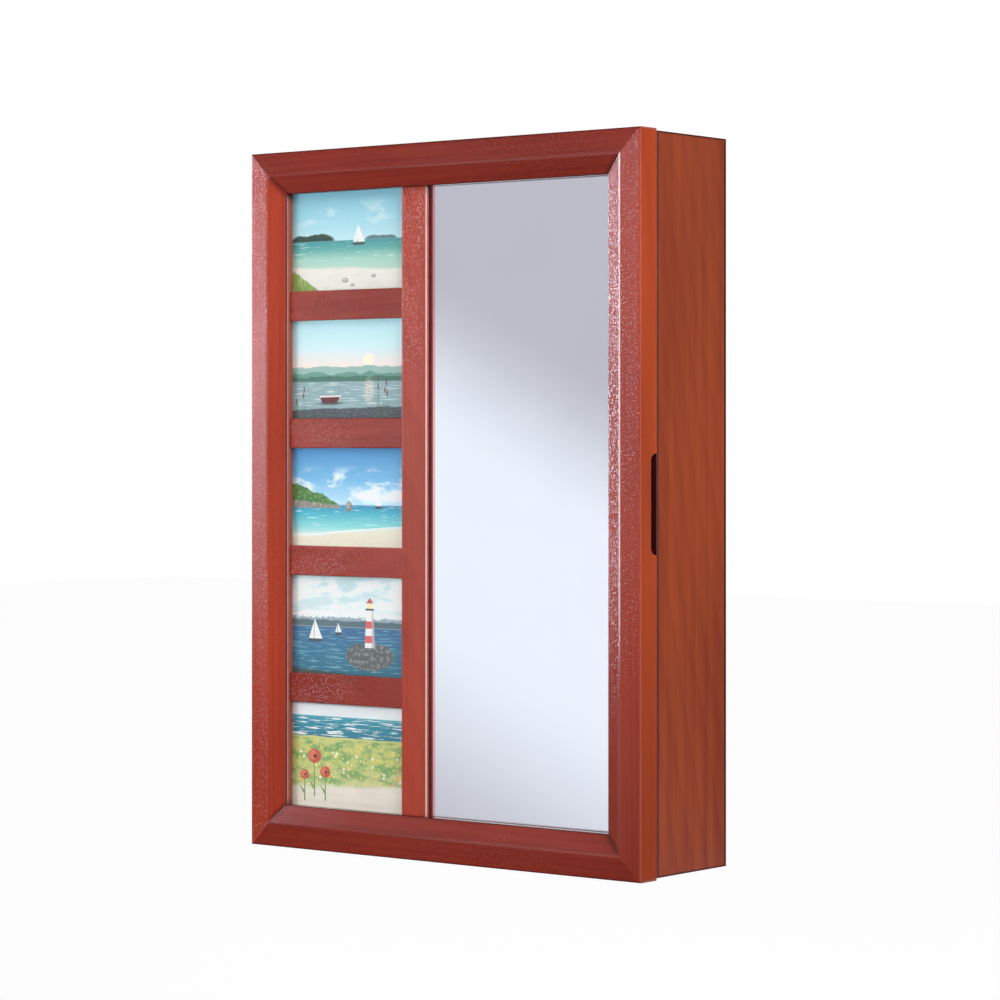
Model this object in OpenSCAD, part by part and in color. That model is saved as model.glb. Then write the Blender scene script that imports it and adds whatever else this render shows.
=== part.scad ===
// Wall-mounted jewelry cabinet. Its overlay door carries a mirror and a column of five photo frames.
// X runs to the right, Y into the wall and Z up. The origin is the centre of the back face,
// so the front of the door lies at y = -overall_d. Millimetres.

/* [Overall] */
// Width of the door, which is wider than the case
overall_w = 406.4; // [380:0.1:460]
// Height of the door
overall_h = 584.2; // [560:0.1:640]
// Depth from the wall to the ridge of the door frame
overall_d = 120.65; // [112:0.05:150]
// How far the door stands past the case, all round
overhang = 1.5; // [0.5:0.1:4]
// Gap between the back of the door and the front of the case
door_gap = 1.0; // [0.8:0.1:1.4]

/* [Door frame] */
// Thickness of the door
door_t = 24; // [23:0.1:28]
// Width of the moulded frame
frame_w = 35.1; // [32:0.1:42]
// Distance of the ridge from the outer edge
ridge_in = 19.4; // [12:0.1:24]
// How far the outer edge lies behind the ridge
ridge_rise = 1.0; // [0.2:0.1:2]
// How far the inner edge lies behind the ridge
bevel_drop = 6.5; // [3:0.1:8]
// Radius of the ridge
ridge_r = 6; // [2:0.5:10]
// Radius of the outer front edge
outer_edge_r = 1.5; // [0.5:0.1:3]
// Radius of the outer back edge
back_edge_r = 2; // [0.5:0.1:3]
// Radius of the inner front edge
inner_edge_r = 1; // [0.3:0.1:2]
// Depth of the glass seat behind the ridge
seat_in = 14; // [13:0.1:15]
// Width of the seat that holds the glass and the mirror
seat_w = 4; // [3:0.1:6]

/* [Finger notch] */
// Length of the notch in the edge of the door
notch_l = 79; // [50:1:120]
// How far the notch reaches in from the side
notch_in = 12; // [6:0.5:12]
// Width of the notch along the depth of the door
notch_w = 9; // [6:0.5:12]
// Radius at the ends of the notch
notch_r = 6; // [2:0.5:6]

/* [Photo column] */
// Width of each photo opening
photo_w = 123; // [100:0.5:130]
// Height of the first four openings; the fifth takes what is left
photo_h = 82; // [70:0.5:84]
// Height of the bars between the openings
bar_h = 24.8; // [20:0.1:26]
// Depth of the bars' front behind the ridge
bar_in = 10.5; // [9:0.1:11]
// Radius of the bars' front edges
bar_edge_r = 0.8; // [0.3:0.1:1.5]
// Dark slit between a bar and the frame
bar_slit = 0.5; // [0.1:0.1:1]
// Width of the stile between the photos and the mirror
divider_w = 26.7; // [22:0.1:32]
// Radius of its edge at the mirror
divider_edge_r = 3; // [1:0.1:3]
// Thickness of the clear panes
pane_t = 1.5; // [1:0.1:2]
// Thickness of the prints
print_t = 0.3; // [0.2:0.1:0.5]
// Thickness of the boards behind the prints
photo_back_t = 2.5; // [2:0.1:3]
// How far these boards stay under the backs of the bars
photo_back_play = 0.2; // [0.1:0.05:0.4]
// How far the end boards reach into the rails' grooves
tongue = 3; // [2:0.1:5]

/* [Mirror] */
// Thickness of the mirror
mirror_t = 3; // [2:0.1:4]
// Thickness of the board behind the mirror
mirror_back_t = 2.5; // [2:0.1:3]
// Length of the glazing points
point_l = 9; // [6:0.5:12]
// Width of the glazing points
point_w = 8; // [4:0.5:12]
// Thickness of the glazing points
point_t = 0.6; // [0.4:0.1:0.8]
// How far the points are driven into the wood
point_sunk = 5; // [3:0.5:6]
// Distance between the points along the sides
points_pitch_z = 180; // [120:1:220]
// Distance between the points along the ends
points_pitch_x = 62; // [40:1:100]
// Wood of the stile behind the points
point_cover = 1.4; // [1:0.1:2]

/* [Turn buttons] */
// Length of a turn button
button_l = 30; // [26:1:40]
// Width of a turn button
button_w = 9; // [7:0.5:12]
// Thickness of a turn button
button_t = 1.5; // [1:0.1:1.6]
// Gap under and over a turn button
button_gap = 0.3; // [0.3:0.05:0.4]
// Radius of the button screws
button_screw_r = 1.5; // [1:0.1:2]
// Running clearance round the button screws
button_play = 0.05; // [0.02:0.01:0.1]
// Radius of the button screws' heads
button_head_r = 3.2; // [2.8:0.1:3.5]
// Height of those heads
button_head_h = 1.4; // [1:0.1:1.5]
// How much those heads narrow towards the button
button_head_taper = 0.6; // [0.2:0.1:0.8]
// How far the button screws go into the bars
button_screw_in = 6; // [4:0.5:6.5]

/* [Hinges] */
// Height of each hinge
hinge_h = 50; // [40:1:60]
// Distance of each hinge's middle from the door's end
hinge_inset = 92.1; // [60:0.1:130]
// Width of a leaf from the pin's axis
leaf_w = 12.3; // [10.5:0.1:12.5]
// Thickness of the leaves
leaf_t = 1.2; // [1:0.1:1.6]
// Radius of the barrel
barrel_r = 2.6; // [2.3:0.1:2.8]
// Radius of the hinge pin
pin_r = 1.3; // [1:0.1:1.5]
// Running clearance round the pin in the door's knuckles
pin_play = 0.05; // [0.02:0.01:0.1]
// Distance of the pin's axis outside the door's edge
pin_out = 0.3; // [0.3:0.05:0.6]
// Gap between two knuckles, and round the barrel in the wood
knuckle_gap = 0.3; // [0.2:0.05:0.5]
// Radius of the pin's heads
pin_head_r = 2.1; // [1.8:0.1:2.2]
// Height of the pin's heads
pin_head_h = 1.2; // [0.8:0.1:2]

/* [Flat screws] */
// Radius of the screws' shanks
screw_r = 1.3; // [1:0.1:1.4]
// Radius of their countersunk heads
screw_head_r = 2.5; // [2.2:0.1:2.6]
// Height of their countersunk heads
screw_head_h = 1; // [0.8:0.05:1]
// Width of the drivers' slots in all heads
driver_w = 0.6; // [0.4:0.1:1]
// Depth of the drivers' slots
driver_h = 0.5; // [0.3:0.1:0.6]
// Length of the hinge screws
hinge_screw_l = 12; // [8:0.5:14]
// Distance between the hinge screws
hinge_screw_pitch = 16; // [12:0.5:16]
// Distance of the hinge screws from the pin's axis
hinge_screw_x = 7.6; // [6.5:0.1:8]
// Length of the strike plate's screws
strike_screw_l = 8; // [5:0.5:9]
// Radial clearance of a screw in wood and in a countersink
screw_play = 0.05; // [0.02:0.01:0.1]

/* [Case] */
// Thickness of the case boards
board_t = 12; // [11:0.1:15]
// Depth of the joints cut into the side boards
joint_d = 4; // [2:0.1:5]
// Radius of the side boards' outer edges
board_edge_r = 1; // [0.3:0.1:2]
// Thickness of the back panel
back_t = 4; // [3:0.1:6]
// Wood left outside the back panel's rebate
back_margin = 6; // [4:0.1:8]
// Thickness of the velvet linings
lining_t = 1.5; // [0.8:0.1:2]
// Height of the hanging rail
rail_h = 50; // [40:1:60]
// Thickness of the hanging rail
rail_t = 12; // [10:0.5:16]
// Distance between the two wall screws
wall_screw_pitch = 304.8; // [200:0.1:320]
// Radius of the holes for the wall screws
wall_screw_r = 2.5; // [2:0.1:3.5]
// Height of the wall screws above the rail's lower edge
wall_screw_up = 36; // [34:0.5:38]
// Sliding clearance of parts that are let into each other
fit = 0.1; // [0.05:0.01:0.2]
// Clearance of glass and boards in their seats
glass_play = 0.2; // [0.1:0.05:0.4]

/* [Shelves] */
// Thickness of the shelves
shelf_t = 8; // [6:0.5:10]
// How far the shelves stay back from the case's front
shelf_back_off = 10; // [8:0.5:18]
// Clear height of the bottom bays
bottom_bay_h = 108.6; // [70:0.1:140]
// Clear height of the bracelet bay
bracelet_bay_h = 100; // [80:0.5:120]
// Height of the shelf lips
lip_h = 14; // [8:0.5:18]
// Thickness of the shelf lips
lip_t = 5; // [4:0.5:8]
// Radius of the lips' upper edges
lip_edge_r = 1.5; // [0.5:0.1:2]
// Thickness of the two partitions in the bottom bay
partition_t = 6; // [4:0.5:8]
// Width of the earring bay at the right
earring_bay_w = 129.7; // [100:0.1:150]
// Thickness of the upright beside it
upright_t = 8; // [7:0.5:12]

/* [Fittings] */
// Distance between necklace hooks
hook_pitch = 33; // [24:0.5:45]
// Distance of the first hook from the left side board
hook_margin = 22; // [15:0.5:40]
// Height of the hooks above the rail's lower edge
hook_up = 16; // [12:0.5:20]
// Radius of the hooks' wire
hook_r = 1.3; // [1:0.1:1.6]
// Straight reach of a hook from its flange
hook_reach = 15; // [10:0.5:25]
// Radius of a hook's bend, at the wire's middle
hook_bend_r = 5; // [4:0.5:7]
// Straight height of a hook's tip
hook_tip_h = 3; // [1:0.5:6]
// Radius of the ball on a hook's tip
hook_ball_r = 2.3; // [1.8:0.1:3]
// Radius of a hook's flange
hook_flange_r = 4.5; // [3:0.5:6]
// Thickness of a hook's flange
hook_flange_t = 1.5; // [1:0.1:2]
// How far a hook is screwed into the rail
hook_in = 8; // [5:0.5:9]
// Height of an earring bar
earring_bar_h = 16; // [10:0.5:20]
// Thickness of an earring bar
earring_bar_t = 5; // [3.5:0.5:8]
// Distance from the top board down to the first earring bar
earring_drop = 52; // [40:1:60]
// Distance between the earring bars
earring_pitch = 62; // [40:1:68]
// Least height of the last earring bar above the shelf
earring_floor = 20; // [10:1:60]
// Distance of the earring bars from the back lining
earring_off = 36; // [20:0.5:45]
// How far the bars are let into the wood at each end
earring_bar_in = 3; // [1:0.5:4]
// Width of an earring slot
slot_w = 1.6; // [1:0.1:2.5]
// Depth of an earring slot
slot_h = 6; // [3:0.5:8]
// Distance between earring slots
slot_pitch = 11; // [8:0.5:16]
// Radius of the bracelet rod
rod_r = 5; // [3:0.1:6]
// Distance from the shelf above down to the rod's axis
rod_drop = 28; // [20:0.5:36]
// Distance of the rod's axis from the back lining
rod_off = 42; // [25:0.5:50]
// Wall of a rod socket
socket_wall = 4; // [2:0.1:5]
// Length of a rod socket
socket_l = 8; // [5:0.5:12]
// Thickness of a rod socket's base
socket_base = 2; // [1:0.1:3]
// Width of a ring roll
roll_w = 11.8; // [9:0.1:12]
// Gap between two ring rolls
roll_gap = 0.3; // [0.1:0.1:1]
// Height of a ring roll
roll_h = 16; // [13:0.5:20]

/* [Catch] */
// Height of the catch above the lip of the middle shelf
catch_up = 22; // [10:0.5:60]
// Height of the magnetic catch
catch_h = 36; // [34:0.5:44]
// Width of the catch
catch_w = 12; // [10:0.5:14]
// Depth of the catch
catch_d = 15; // [12:0.5:18]
// Height of the magnet
magnet_h = 22; // [14:0.5:22]
// Width of the magnet
magnet_w = 5; // [4:0.5:7]
// Depth of the magnet
magnet_d = 11; // [8:0.5:11]
// How far the magnet stands out of the catch
magnet_proud = 0.4; // [0.2:0.05:0.5]
// Distance between the catch's screws
catch_screw_pitch = 29; // [27:0.5:30]
// Radius of the catch's screws
catch_screw_r = 1.4; // [1:0.1:1.6]
// Length of the catch's screws
catch_screw_l = 19; // [16:0.5:20]
// Radius of their heads
catch_head_r = 2.4; // [2:0.1:2.6]
// Height of their heads
catch_head_h = 1.2; // [1:0.1:1.8]
// Height of the strike plate
strike_h = 30; // [26:0.5:36]
// Thickness of the strike plate
strike_t = 1.0; // [1:0.1:1.5]
// Distance between the strike plate's screws
strike_screw_pitch = 20; // [16:0.5:20]
// Radius of the felt bumpers
bumper_r = 4.5; // [3:0.1:5]
// Thickness of the felt bumpers
bumper_t = 0.7; // [0.3:0.05:0.7]
// Distance of the bumpers from the middle
bumper_x = 150; // [100:1:170]

/* [Hidden] */
$fn = 48;
arc_steps = 4;
over = 1;

half_w = overall_w / 2;
half_h = overall_h / 2;
front_y = -overall_d;
door_back_y = front_y + door_t;

// Door: the opening inside the frame and what divides it
open_w = half_w - frame_w;
open_h = half_h - frame_w;
seat_y = front_y + seat_in;
bar_y = front_y + bar_in;
photo_x0 = -open_w;
photo_x1 = photo_x0 + photo_w;
photo_mid_x = (photo_x0 + photo_x1) / 2;
mirror_x0 = photo_x1 + divider_w;
mirror_x1 = open_w;
photos_n = 5;
print_y = seat_y + pane_t;
photo_back_y = print_y + print_t;
mirror_back_y = seat_y + mirror_t;
point_y = mirror_back_y + mirror_back_t;
divider_back_y = point_y + point_t + point_cover;
bar_back_y = photo_back_y + photo_back_t + photo_back_play;
button_y = bar_back_y + button_gap;
button_head_y = button_y + button_t + button_gap;

// Case
case_half_w = half_w - overhang;
case_half_h = half_h - overhang;
case_front_y = door_back_y + door_gap;
in_half_w = case_half_w - board_t;
in_half_h = case_half_h - board_t;
lining_y = -back_t - lining_t;
shelf_front_y = case_front_y + shelf_back_off;
lower_shelf_z = -in_half_h + bottom_bay_h;
middle_shelf_z = lower_shelf_z + shelf_t + bracelet_bay_h;
middle_top_z = middle_shelf_z + shelf_t;
rail_z = in_half_h - rail_h;
rail_y = -back_t - rail_t;
upright_x = in_half_w - earring_bay_w - upright_t;
bay_w = (2 * in_half_w - 2 * partition_t) / 3;
hook_z = rail_z + hook_up;
hooks_n = floor((upright_x - roll_gap - hook_flange_r + in_half_w - hook_margin) / hook_pitch) + 1;
earring_y = lining_y - earring_off;
earring_room = in_half_h - earring_drop - earring_bar_h - middle_top_z - earring_floor;
earring_bars_n = floor(earring_room / earring_pitch) + 1;
rolls_n = floor((lining_y - shelf_front_y - lip_t - roll_gap) / (roll_w + roll_gap));
rod_y = lining_y - rod_off;
rod_z = middle_shelf_z - rod_drop;
catch_x = in_half_w - catch_w;
catch_z = middle_top_z + lip_h + catch_up + catch_h / 2;

// Hinges: the pin's axis stands in the middle of the gap
hinge_z = half_h - hinge_inset;
hinge_x = -half_w - pin_out;
hinge_y = (door_back_y + case_front_y) / 2;
knuckles_n = 5;
knuckle_h = (hinge_h - (knuckles_n - 1) * knuckle_gap) / knuckles_n;
plate_x = barrel_r + knuckle_gap + fit;

wood = [0.60, 0.27, 0.20];
inner_wood = [0.50, 0.24, 0.16];
brass = [0.80, 0.66, 0.36];
steel = [0.72, 0.72, 0.74];
velvet = [0.88, 0.83, 0.72];
felt = [0.20, 0.14, 0.12];
board = [0.55, 0.42, 0.30];

// Outlines with rounded corners: each corner has its own radius, and 0 leaves it sharp
function unit(v) = v / norm(v);
function turn_of(a) = a > 180 ? a - 360 : (a < -180 ? a + 360 : a);
function corner_arc(a, b, c, r) =
    r == 0 ? [b] :
    let (
        to_a = unit(a - b),
        to_c = unit(c - b),
        half = acos(to_a * to_c) / 2,
        centre = b + unit(to_a + to_c) * r / sin(half),
        start = b + to_a * r / tan(half) - centre,
        end = b + to_c * r / tan(half) - centre,
        from = atan2(start.y, start.x),
        sweep = turn_of(atan2(end.y, end.x) - from)
    )
    [for (i = [0:arc_steps]) let (at = from + sweep * i / arc_steps) centre + r * [cos(at), sin(at)]];
function rounded(points, radii) =
    let (n = len(points))
    [for (i = [0:n - 1]) each corner_arc(points[(i + n - 1) % n], points[i], points[(i + 1) % n], radii[i])];

// A box between two corners
module block(low, high) {
    translate(low) cube(high - low);
}

// An outline of (x, z) points, from y0 to y1
module along_y(points, y0, y1) {
    translate([0, y1, 0]) rotate([90, 0, 0]) linear_extrude(y1 - y0) polygon(points);
}

// An outline of (y, z) points, from x0 to x1
module along_x(points, x0, x1) {
    translate([x0, 0, 0]) rotate([90, 0, 90]) linear_extrude(x1 - x0) polygon(points);
}

// A cylinder along Y, from y0 to y1
module round_y(x, z, y0, y1, r, r_end) {
    translate([x, y1, z]) rotate([90, 0, 0]) cylinder(h = y1 - y0, r1 = r, r2 = r_end);
}

// The frame's moulding: distance in from the outer edge, and depth behind the ridge
frame_outline = rounded(
    [[0, door_t], [0, ridge_rise], [ridge_in, 0], [frame_w, bevel_drop],
     [frame_w, seat_in], [frame_w - seat_w, seat_in], [frame_w - seat_w, door_t]],
    [back_edge_r, outer_edge_r, ridge_r, inner_edge_r, 0, 0, 0]);

module mitred_rail() {
    intersection() {
        along_x([for (p = frame_outline) [front_y + p.y, half_h - p.x]], -half_w, half_w);
        along_y([[-half_w, half_h], [half_w, half_h], [open_w, open_h], [-open_w, open_h]],
            front_y - over, 0);
    }
}

module mitred_stile() {
    intersection() {
        translate([0, 0, -half_h]) linear_extrude(overall_h)
            polygon([for (p = frame_outline) [p.x - half_w, front_y + p.y]]);
        along_y([[-half_w, half_h], [-open_w, open_h], [-open_w, -open_h], [-half_w, -half_h]],
            front_y - over, 0);
    }
}

// Photo openings, counted from the top
function photo_top(i) = open_h - i * (photo_h + bar_h);
function photo_bottom(i) = i < photos_n - 1 ? photo_top(i) - photo_h : -open_h;
function bar_z(i) = photo_bottom(i) - bar_h / 2;

// Glazing points: place of the wood's edge and the direction into the wood
function side_points() = [for (z = [-1, 0, 1]) z * points_pitch_z];
function end_points() = [for (k = [-1, 1]) (mirror_x0 + mirror_x1 + k * points_pitch_x) / 2];

module side_point(edge, dir, z) {
    x0 = dir > 0 ? edge + point_sunk - point_l : edge - point_sunk;
    block([x0, point_y, z - point_w / 2], [x0 + point_l, point_y + point_t, z + point_w / 2]);
}

module end_point(x, dir) {
    edge = open_h + seat_w;
    mirror([0, 0, dir > 0 ? 0 : 1])
        block([x - point_w / 2, point_y, edge + point_sunk - point_l],
            [x + point_w / 2, point_y + point_t, edge + point_sunk]);
}

// Groove that takes the tongue of the first or the last photo board
module tongue_groove() {
    block([photo_x0 - seat_w, photo_back_y - fit, open_h + seat_w - over],
        [photo_x1 + seat_w, photo_back_y + photo_back_t + fit, open_h + seat_w + tongue]);
}

module bumpers(up) {
    for (x = [-bumper_x, bumper_x])
        round_y(x, up * (case_half_h - board_t / 2), door_back_y, door_back_y + bumper_t, bumper_r, bumper_r);
}

// Hinges
function knuckle_z(k) = -hinge_h / 2 + k * (knuckle_h + knuckle_gap);
function screw_rows() = [for (k = [-1, 0, 1]) k * hinge_screw_pitch];

// Flat-headed screw: its head's top is at the origin and its point is down Z
module flat_screw(length) {
    difference() {
        union() {
            translate([0, 0, -screw_head_h]) cylinder(h = screw_head_h, r1 = screw_r, r2 = screw_head_r);
            translate([0, 0, -length]) cylinder(h = length - screw_head_h / 2, r = screw_r);
        }
        block([-screw_head_r, -driver_w / 2, -driver_h], [screw_head_r, driver_w / 2, over]);
    }
}

// Its hole, countersunk
module flat_screw_hole(length) {
    translate([0, 0, -screw_head_h])
        cylinder(h = screw_head_h, r1 = screw_r + screw_play, r2 = screw_head_r + screw_play);
    translate([0, 0, -length - screw_play]) cylinder(h = length + screw_play, r = screw_r + screw_play);
    cylinder(h = over, r = screw_head_r + screw_play);
}

// A leaf about the pin's axis, lying on the +Y side of the gap
module leaf_shape(knuckles, bore_r) {
    face = door_gap / 2;
    difference() {
        union() {
            block([plate_x, face, -hinge_h / 2], [leaf_w, face + leaf_t, hinge_h / 2]);
            for (k = knuckles) {
                translate([0, 0, knuckle_z(k)]) cylinder(h = knuckle_h, r = barrel_r);
                block([0, face, knuckle_z(k)], [plate_x + over, face + leaf_t, knuckle_z(k) + knuckle_h]);
            }
        }
        translate([0, 0, -hinge_h / 2 - over]) cylinder(h = hinge_h + 2 * over, r = bore_r);
        for (z = screw_rows())
            translate([hinge_screw_x, face, z]) rotate([90, 0, 0]) flat_screw_hole(hinge_screw_l);
    }
}

module case_leaf(z) {
    color(brass) translate([hinge_x, hinge_y, z]) leaf_shape([0, 2, 4], pin_r);
}

module door_leaf(z) {
    color(brass) translate([hinge_x, hinge_y, z]) mirror([0, 1, 0]) leaf_shape([1, 3], pin_r + pin_play);
}

// What a leaf needs cut out of the wood on the +Y side of the gap
module leaf_recess() {
    face = door_gap / 2;
    reach = hinge_h / 2 + pin_head_h + knuckle_gap;
    block([0, face - over, -hinge_h / 2 - fit], [leaf_w + fit, face + leaf_t, hinge_h / 2 + fit]);
    translate([0, 0, -reach]) cylinder(h = 2 * reach, r = barrel_r + knuckle_gap);
    for (z = screw_rows())
        translate([hinge_screw_x, face, z]) rotate([90, 0, 0])
            translate([0, 0, -hinge_screw_l - screw_play])
                cylinder(h = hinge_screw_l, r = screw_r + screw_play);
}

module leaf_recesses(mirrored) {
    for (z = [hinge_z, -hinge_z])
        translate([hinge_x, hinge_y, z]) mirror([0, mirrored ? 1 : 0, 0]) leaf_recess();
}

// Case boards
module side_blank() {
    difference() {
        translate([0, 0, -case_half_h]) linear_extrude(2 * case_half_h)
            polygon(rounded(
                [[-case_half_w, case_front_y], [-case_half_w, 0],
                 [-in_half_w, 0], [-in_half_w, case_front_y]],
                [board_edge_r, board_edge_r, 0, 0]));
        for (up = [0, 1]) mirror([0, 0, up])
            block([-in_half_w - joint_d, case_front_y - over, in_half_h],
                [over - in_half_w, over, case_half_h + over]);
        block([-case_half_w + back_margin, -back_t, -case_half_h + back_margin],
            [over - in_half_w, over, case_half_h - back_margin]);
        for (z = [lower_shelf_z, middle_shelf_z])
            block([-in_half_w - joint_d, shelf_front_y, z], [over - in_half_w, -back_t + over, z + shelf_t]);
    }
}

module side_board_left() {
    color(wood) difference() {
        side_blank();
        leaf_recesses(false);
    }
}

module side_board_right() {
    color(wood) difference() {
        mirror([1, 0, 0]) side_blank();
        earring_housings();
        for (z = [-1, 1])
            translate([catch_x, catch_y(), catch_z + z * catch_screw_pitch / 2]) rotate([0, 90, 0])
                cylinder(h = catch_screw_l + screw_play, r = catch_screw_r + screw_play);
    }
}

module end_blank() {
    difference() {
        block([-in_half_w - joint_d, case_front_y, in_half_h], [in_half_w + joint_d, 0, case_half_h]);
        block([-in_half_w - joint_d - over, -back_t, in_half_h - over],
            [in_half_w + joint_d + over, over, case_half_h - back_margin]);
    }
}

module top_board() {
    color(wood) end_blank();
}

module bottom_board() {
    color(wood) mirror([0, 0, 1]) end_blank();
}

module wall_holes(y0, y1) {
    for (x = [-1, 1])
        round_y(x * wall_screw_pitch / 2, rail_z + wall_screw_up, y0, y1, wall_screw_r, wall_screw_r);
}

module back_panel() {
    half_panel_w = case_half_w - back_margin - fit;
    half_panel_h = case_half_h - back_margin - fit;
    color(board) difference() {
        block([-half_panel_w, -back_t, -half_panel_h], [half_panel_w, 0, half_panel_h]);
        wall_holes(-back_t - over, over);
    }
}

module hanging_rail() {
    color(inner_wood) difference() {
        block([-in_half_w, rail_y, rail_z], [in_half_w, -back_t, in_half_h]);
        wall_holes(rail_y - over, -back_t + over);
        for (i = [0:hooks_n - 1])
            round_y(hook_x(i), hook_z, rail_y - over, rail_y + hook_in + screw_play,
                hook_r + screw_play, hook_r + screw_play);
    }
}

// Linings: the back sheet, the shelves' sheets and one sheet in each bottom bay
module velvet_linings() {
    shelf_sheet_y = shelf_front_y + lip_t;
    shelf_sheet_end_y = lining_y - fit;
    color(velvet) {
        block([-in_half_w, lining_y, -in_half_h], [in_half_w, -back_t, rail_z]);
        block([-in_half_w, shelf_sheet_y, lower_shelf_z + shelf_t],
            [in_half_w, shelf_sheet_end_y, lower_shelf_z + shelf_t + lining_t]);
        block([upright_x + upright_t, shelf_sheet_y, middle_top_z],
            [in_half_w, shelf_sheet_end_y, middle_top_z + lining_t]);
        for (i = [0:2])
            block([-in_half_w + i * (bay_w + partition_t), shelf_sheet_y, -in_half_h],
                [-in_half_w + i * (bay_w + partition_t) + bay_w, shelf_sheet_end_y, -in_half_h + lining_t]);
    }
}

// Necklace hooks, screwed into the hanging rail
function hook_x(i) = -in_half_w + hook_margin + i * hook_pitch;

module necklace_hook() {
    round_y(0, 0, -hook_flange_t - hook_reach, hook_in, hook_r, hook_r);
    round_y(0, 0, -hook_flange_t, 0, hook_flange_r, hook_flange_r);
    translate([0, -hook_flange_t - hook_reach, hook_bend_r]) rotate([0, 90, 0]) rotate([0, 0, -90])
        rotate_extrude(angle = 90) translate([hook_bend_r, 0]) circle(r = hook_r);
    translate([0, -hook_flange_t - hook_reach - hook_bend_r, hook_bend_r]) {
        cylinder(h = hook_tip_h, r = hook_r);
        translate([0, 0, hook_tip_h]) sphere(r = hook_ball_r);
    }
}

module necklace_hooks() {
    color(brass)
        for (i = [0:hooks_n - 1]) translate([hook_x(i), rail_y, hook_z]) necklace_hook();
}

// Earring bars, let into the upright and the right side board
function earring_z(i) = in_half_h - earring_drop - i * earring_pitch;

module earring_housings() {
    for (i = [0:earring_bars_n - 1])
        block([upright_x + upright_t - earring_bar_in, earring_y - fit, earring_z(i) - earring_bar_h - fit],
            [in_half_w + earring_bar_in, earring_y + earring_bar_t + fit, earring_z(i) + fit]);
}

module earring_bars() {
    slots_n = floor((earring_bay_w - slot_pitch) / slot_pitch);
    first = upright_x + upright_t + (earring_bay_w - (slots_n - 1) * slot_pitch) / 2;
    color(inner_wood)
        for (i = [0:earring_bars_n - 1]) difference() {
            block([upright_x + upright_t - earring_bar_in + fit, earring_y, earring_z(i) - earring_bar_h],
                [in_half_w + earring_bar_in - fit, earring_y + earring_bar_t, earring_z(i)]);
            for (k = [0:slots_n - 1])
                translate([first + k * slot_pitch, earring_y, earring_z(i)])
                    block([-slot_w / 2, -over, -slot_h], [slot_w / 2, earring_bar_t + over, over]);
        }
}

module upright_divider() {
    color(inner_wood) difference() {
        block([upright_x, shelf_front_y + lip_t, middle_top_z], [upright_x + upright_t, lining_y, in_half_h]);
        block([upright_x - over, rail_y, rail_z], [upright_x + upright_t + over, over, in_half_h + over]);
        earring_housings();
    }
}

module shelf(z) {
    color(inner_wood) block([-in_half_w - joint_d + fit, shelf_front_y, z],
        [in_half_w + joint_d - fit, lining_y, z + shelf_t]);
}

module shelf_lips() {
    color(wood)
        for (z = [middle_top_z, lower_shelf_z + shelf_t, -in_half_h])
            along_x(rounded(
                [[shelf_front_y, z], [shelf_front_y, z + lip_h],
                 [shelf_front_y + lip_t, z + lip_h], [shelf_front_y + lip_t, z]],
                [0, lip_edge_r, lip_edge_r, 0]), -in_half_w, in_half_w);
}

module lower_partitions() {
    color(inner_wood)
        for (i = [1, 2])
            block([-in_half_w + i * bay_w + (i - 1) * partition_t, shelf_front_y + lip_t, -in_half_h],
                [-in_half_w + i * (bay_w + partition_t), lining_y, lower_shelf_z]);
}

// Ring rolls: long pads side by side, with a round top
module ring_rolls() {
    color(velvet)
        for (i = [0:rolls_n - 1]) {
            y = lining_y - roll_gap - i * (roll_w + roll_gap) - roll_w / 2;
            translate([-in_half_w + roll_gap, y, middle_top_z]) rotate([90, 0, 90])
                linear_extrude(upright_x + in_half_w - 2 * roll_gap) {
                    translate([-roll_w / 2, 0]) square([roll_w, roll_h - roll_w / 2]);
                    translate([0, roll_h - roll_w / 2]) circle(d = roll_w);
                }
        }
}

module bracelet_rod() {
    half_rod = in_half_w - socket_base;
    color(brass) translate([-half_rod, rod_y, rod_z]) rotate([0, 90, 0])
        cylinder(h = 2 * half_rod, r = rod_r);
}

module rod_sockets() {
    color(brass)
        for (side = [0, 1]) mirror([side, 0, 0])
            translate([-in_half_w, rod_y, rod_z]) rotate([0, 90, 0]) difference() {
                cylinder(h = socket_l, r = rod_r + fit + socket_wall);
                translate([0, 0, socket_base]) cylinder(h = socket_l, r = rod_r + fit);
            }
}

// Magnetic catch on the right side board
function catch_y() = case_front_y + catch_d / 2;

module magnet_box(proud, play) {
    mid_x = catch_x + catch_w / 2;
    block([mid_x - magnet_w / 2 - play, case_front_y - proud, catch_z - magnet_h / 2 - play],
        [mid_x + magnet_w / 2 + play, case_front_y + magnet_d, catch_z + magnet_h / 2 + play]);
}

module magnet_catch() {
    color(felt) difference() {
        block([catch_x, case_front_y, catch_z - catch_h / 2],
            [in_half_w, case_front_y + catch_d, catch_z + catch_h / 2]);
        magnet_box(over, fit);
        for (z = [-1, 1])
            translate([catch_x - over, catch_y(), catch_z + z * catch_screw_pitch / 2]) rotate([0, 90, 0])
                cylinder(h = catch_w + 2 * over, r = catch_screw_r + screw_play);
    }
}

module catch_magnet() {
    color(steel) magnet_box(magnet_proud, 0);
}

module catch_screws() {
    color(steel)
        for (z = [-1, 1])
            translate([catch_x - catch_head_h, catch_y(), catch_z + z * catch_screw_pitch / 2])
                rotate([0, 90, 0]) {
                    cylinder(h = catch_screw_l + catch_head_h, r = catch_screw_r);
                    cylinder(h = catch_head_h, r = catch_head_r);
                }
}

module hinge_pins() {
    color(brass)
        for (z = [hinge_z, -hinge_z]) translate([hinge_x, hinge_y, z]) {
            pin_l = hinge_h + 2 * pin_head_h;
            translate([0, 0, -pin_l / 2]) cylinder(h = pin_l, r = pin_r);
            for (up = [0, 1]) mirror([0, 0, up])
                translate([0, 0, hinge_h / 2]) cylinder(h = pin_head_h, r = pin_head_r);
        }
}

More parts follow.
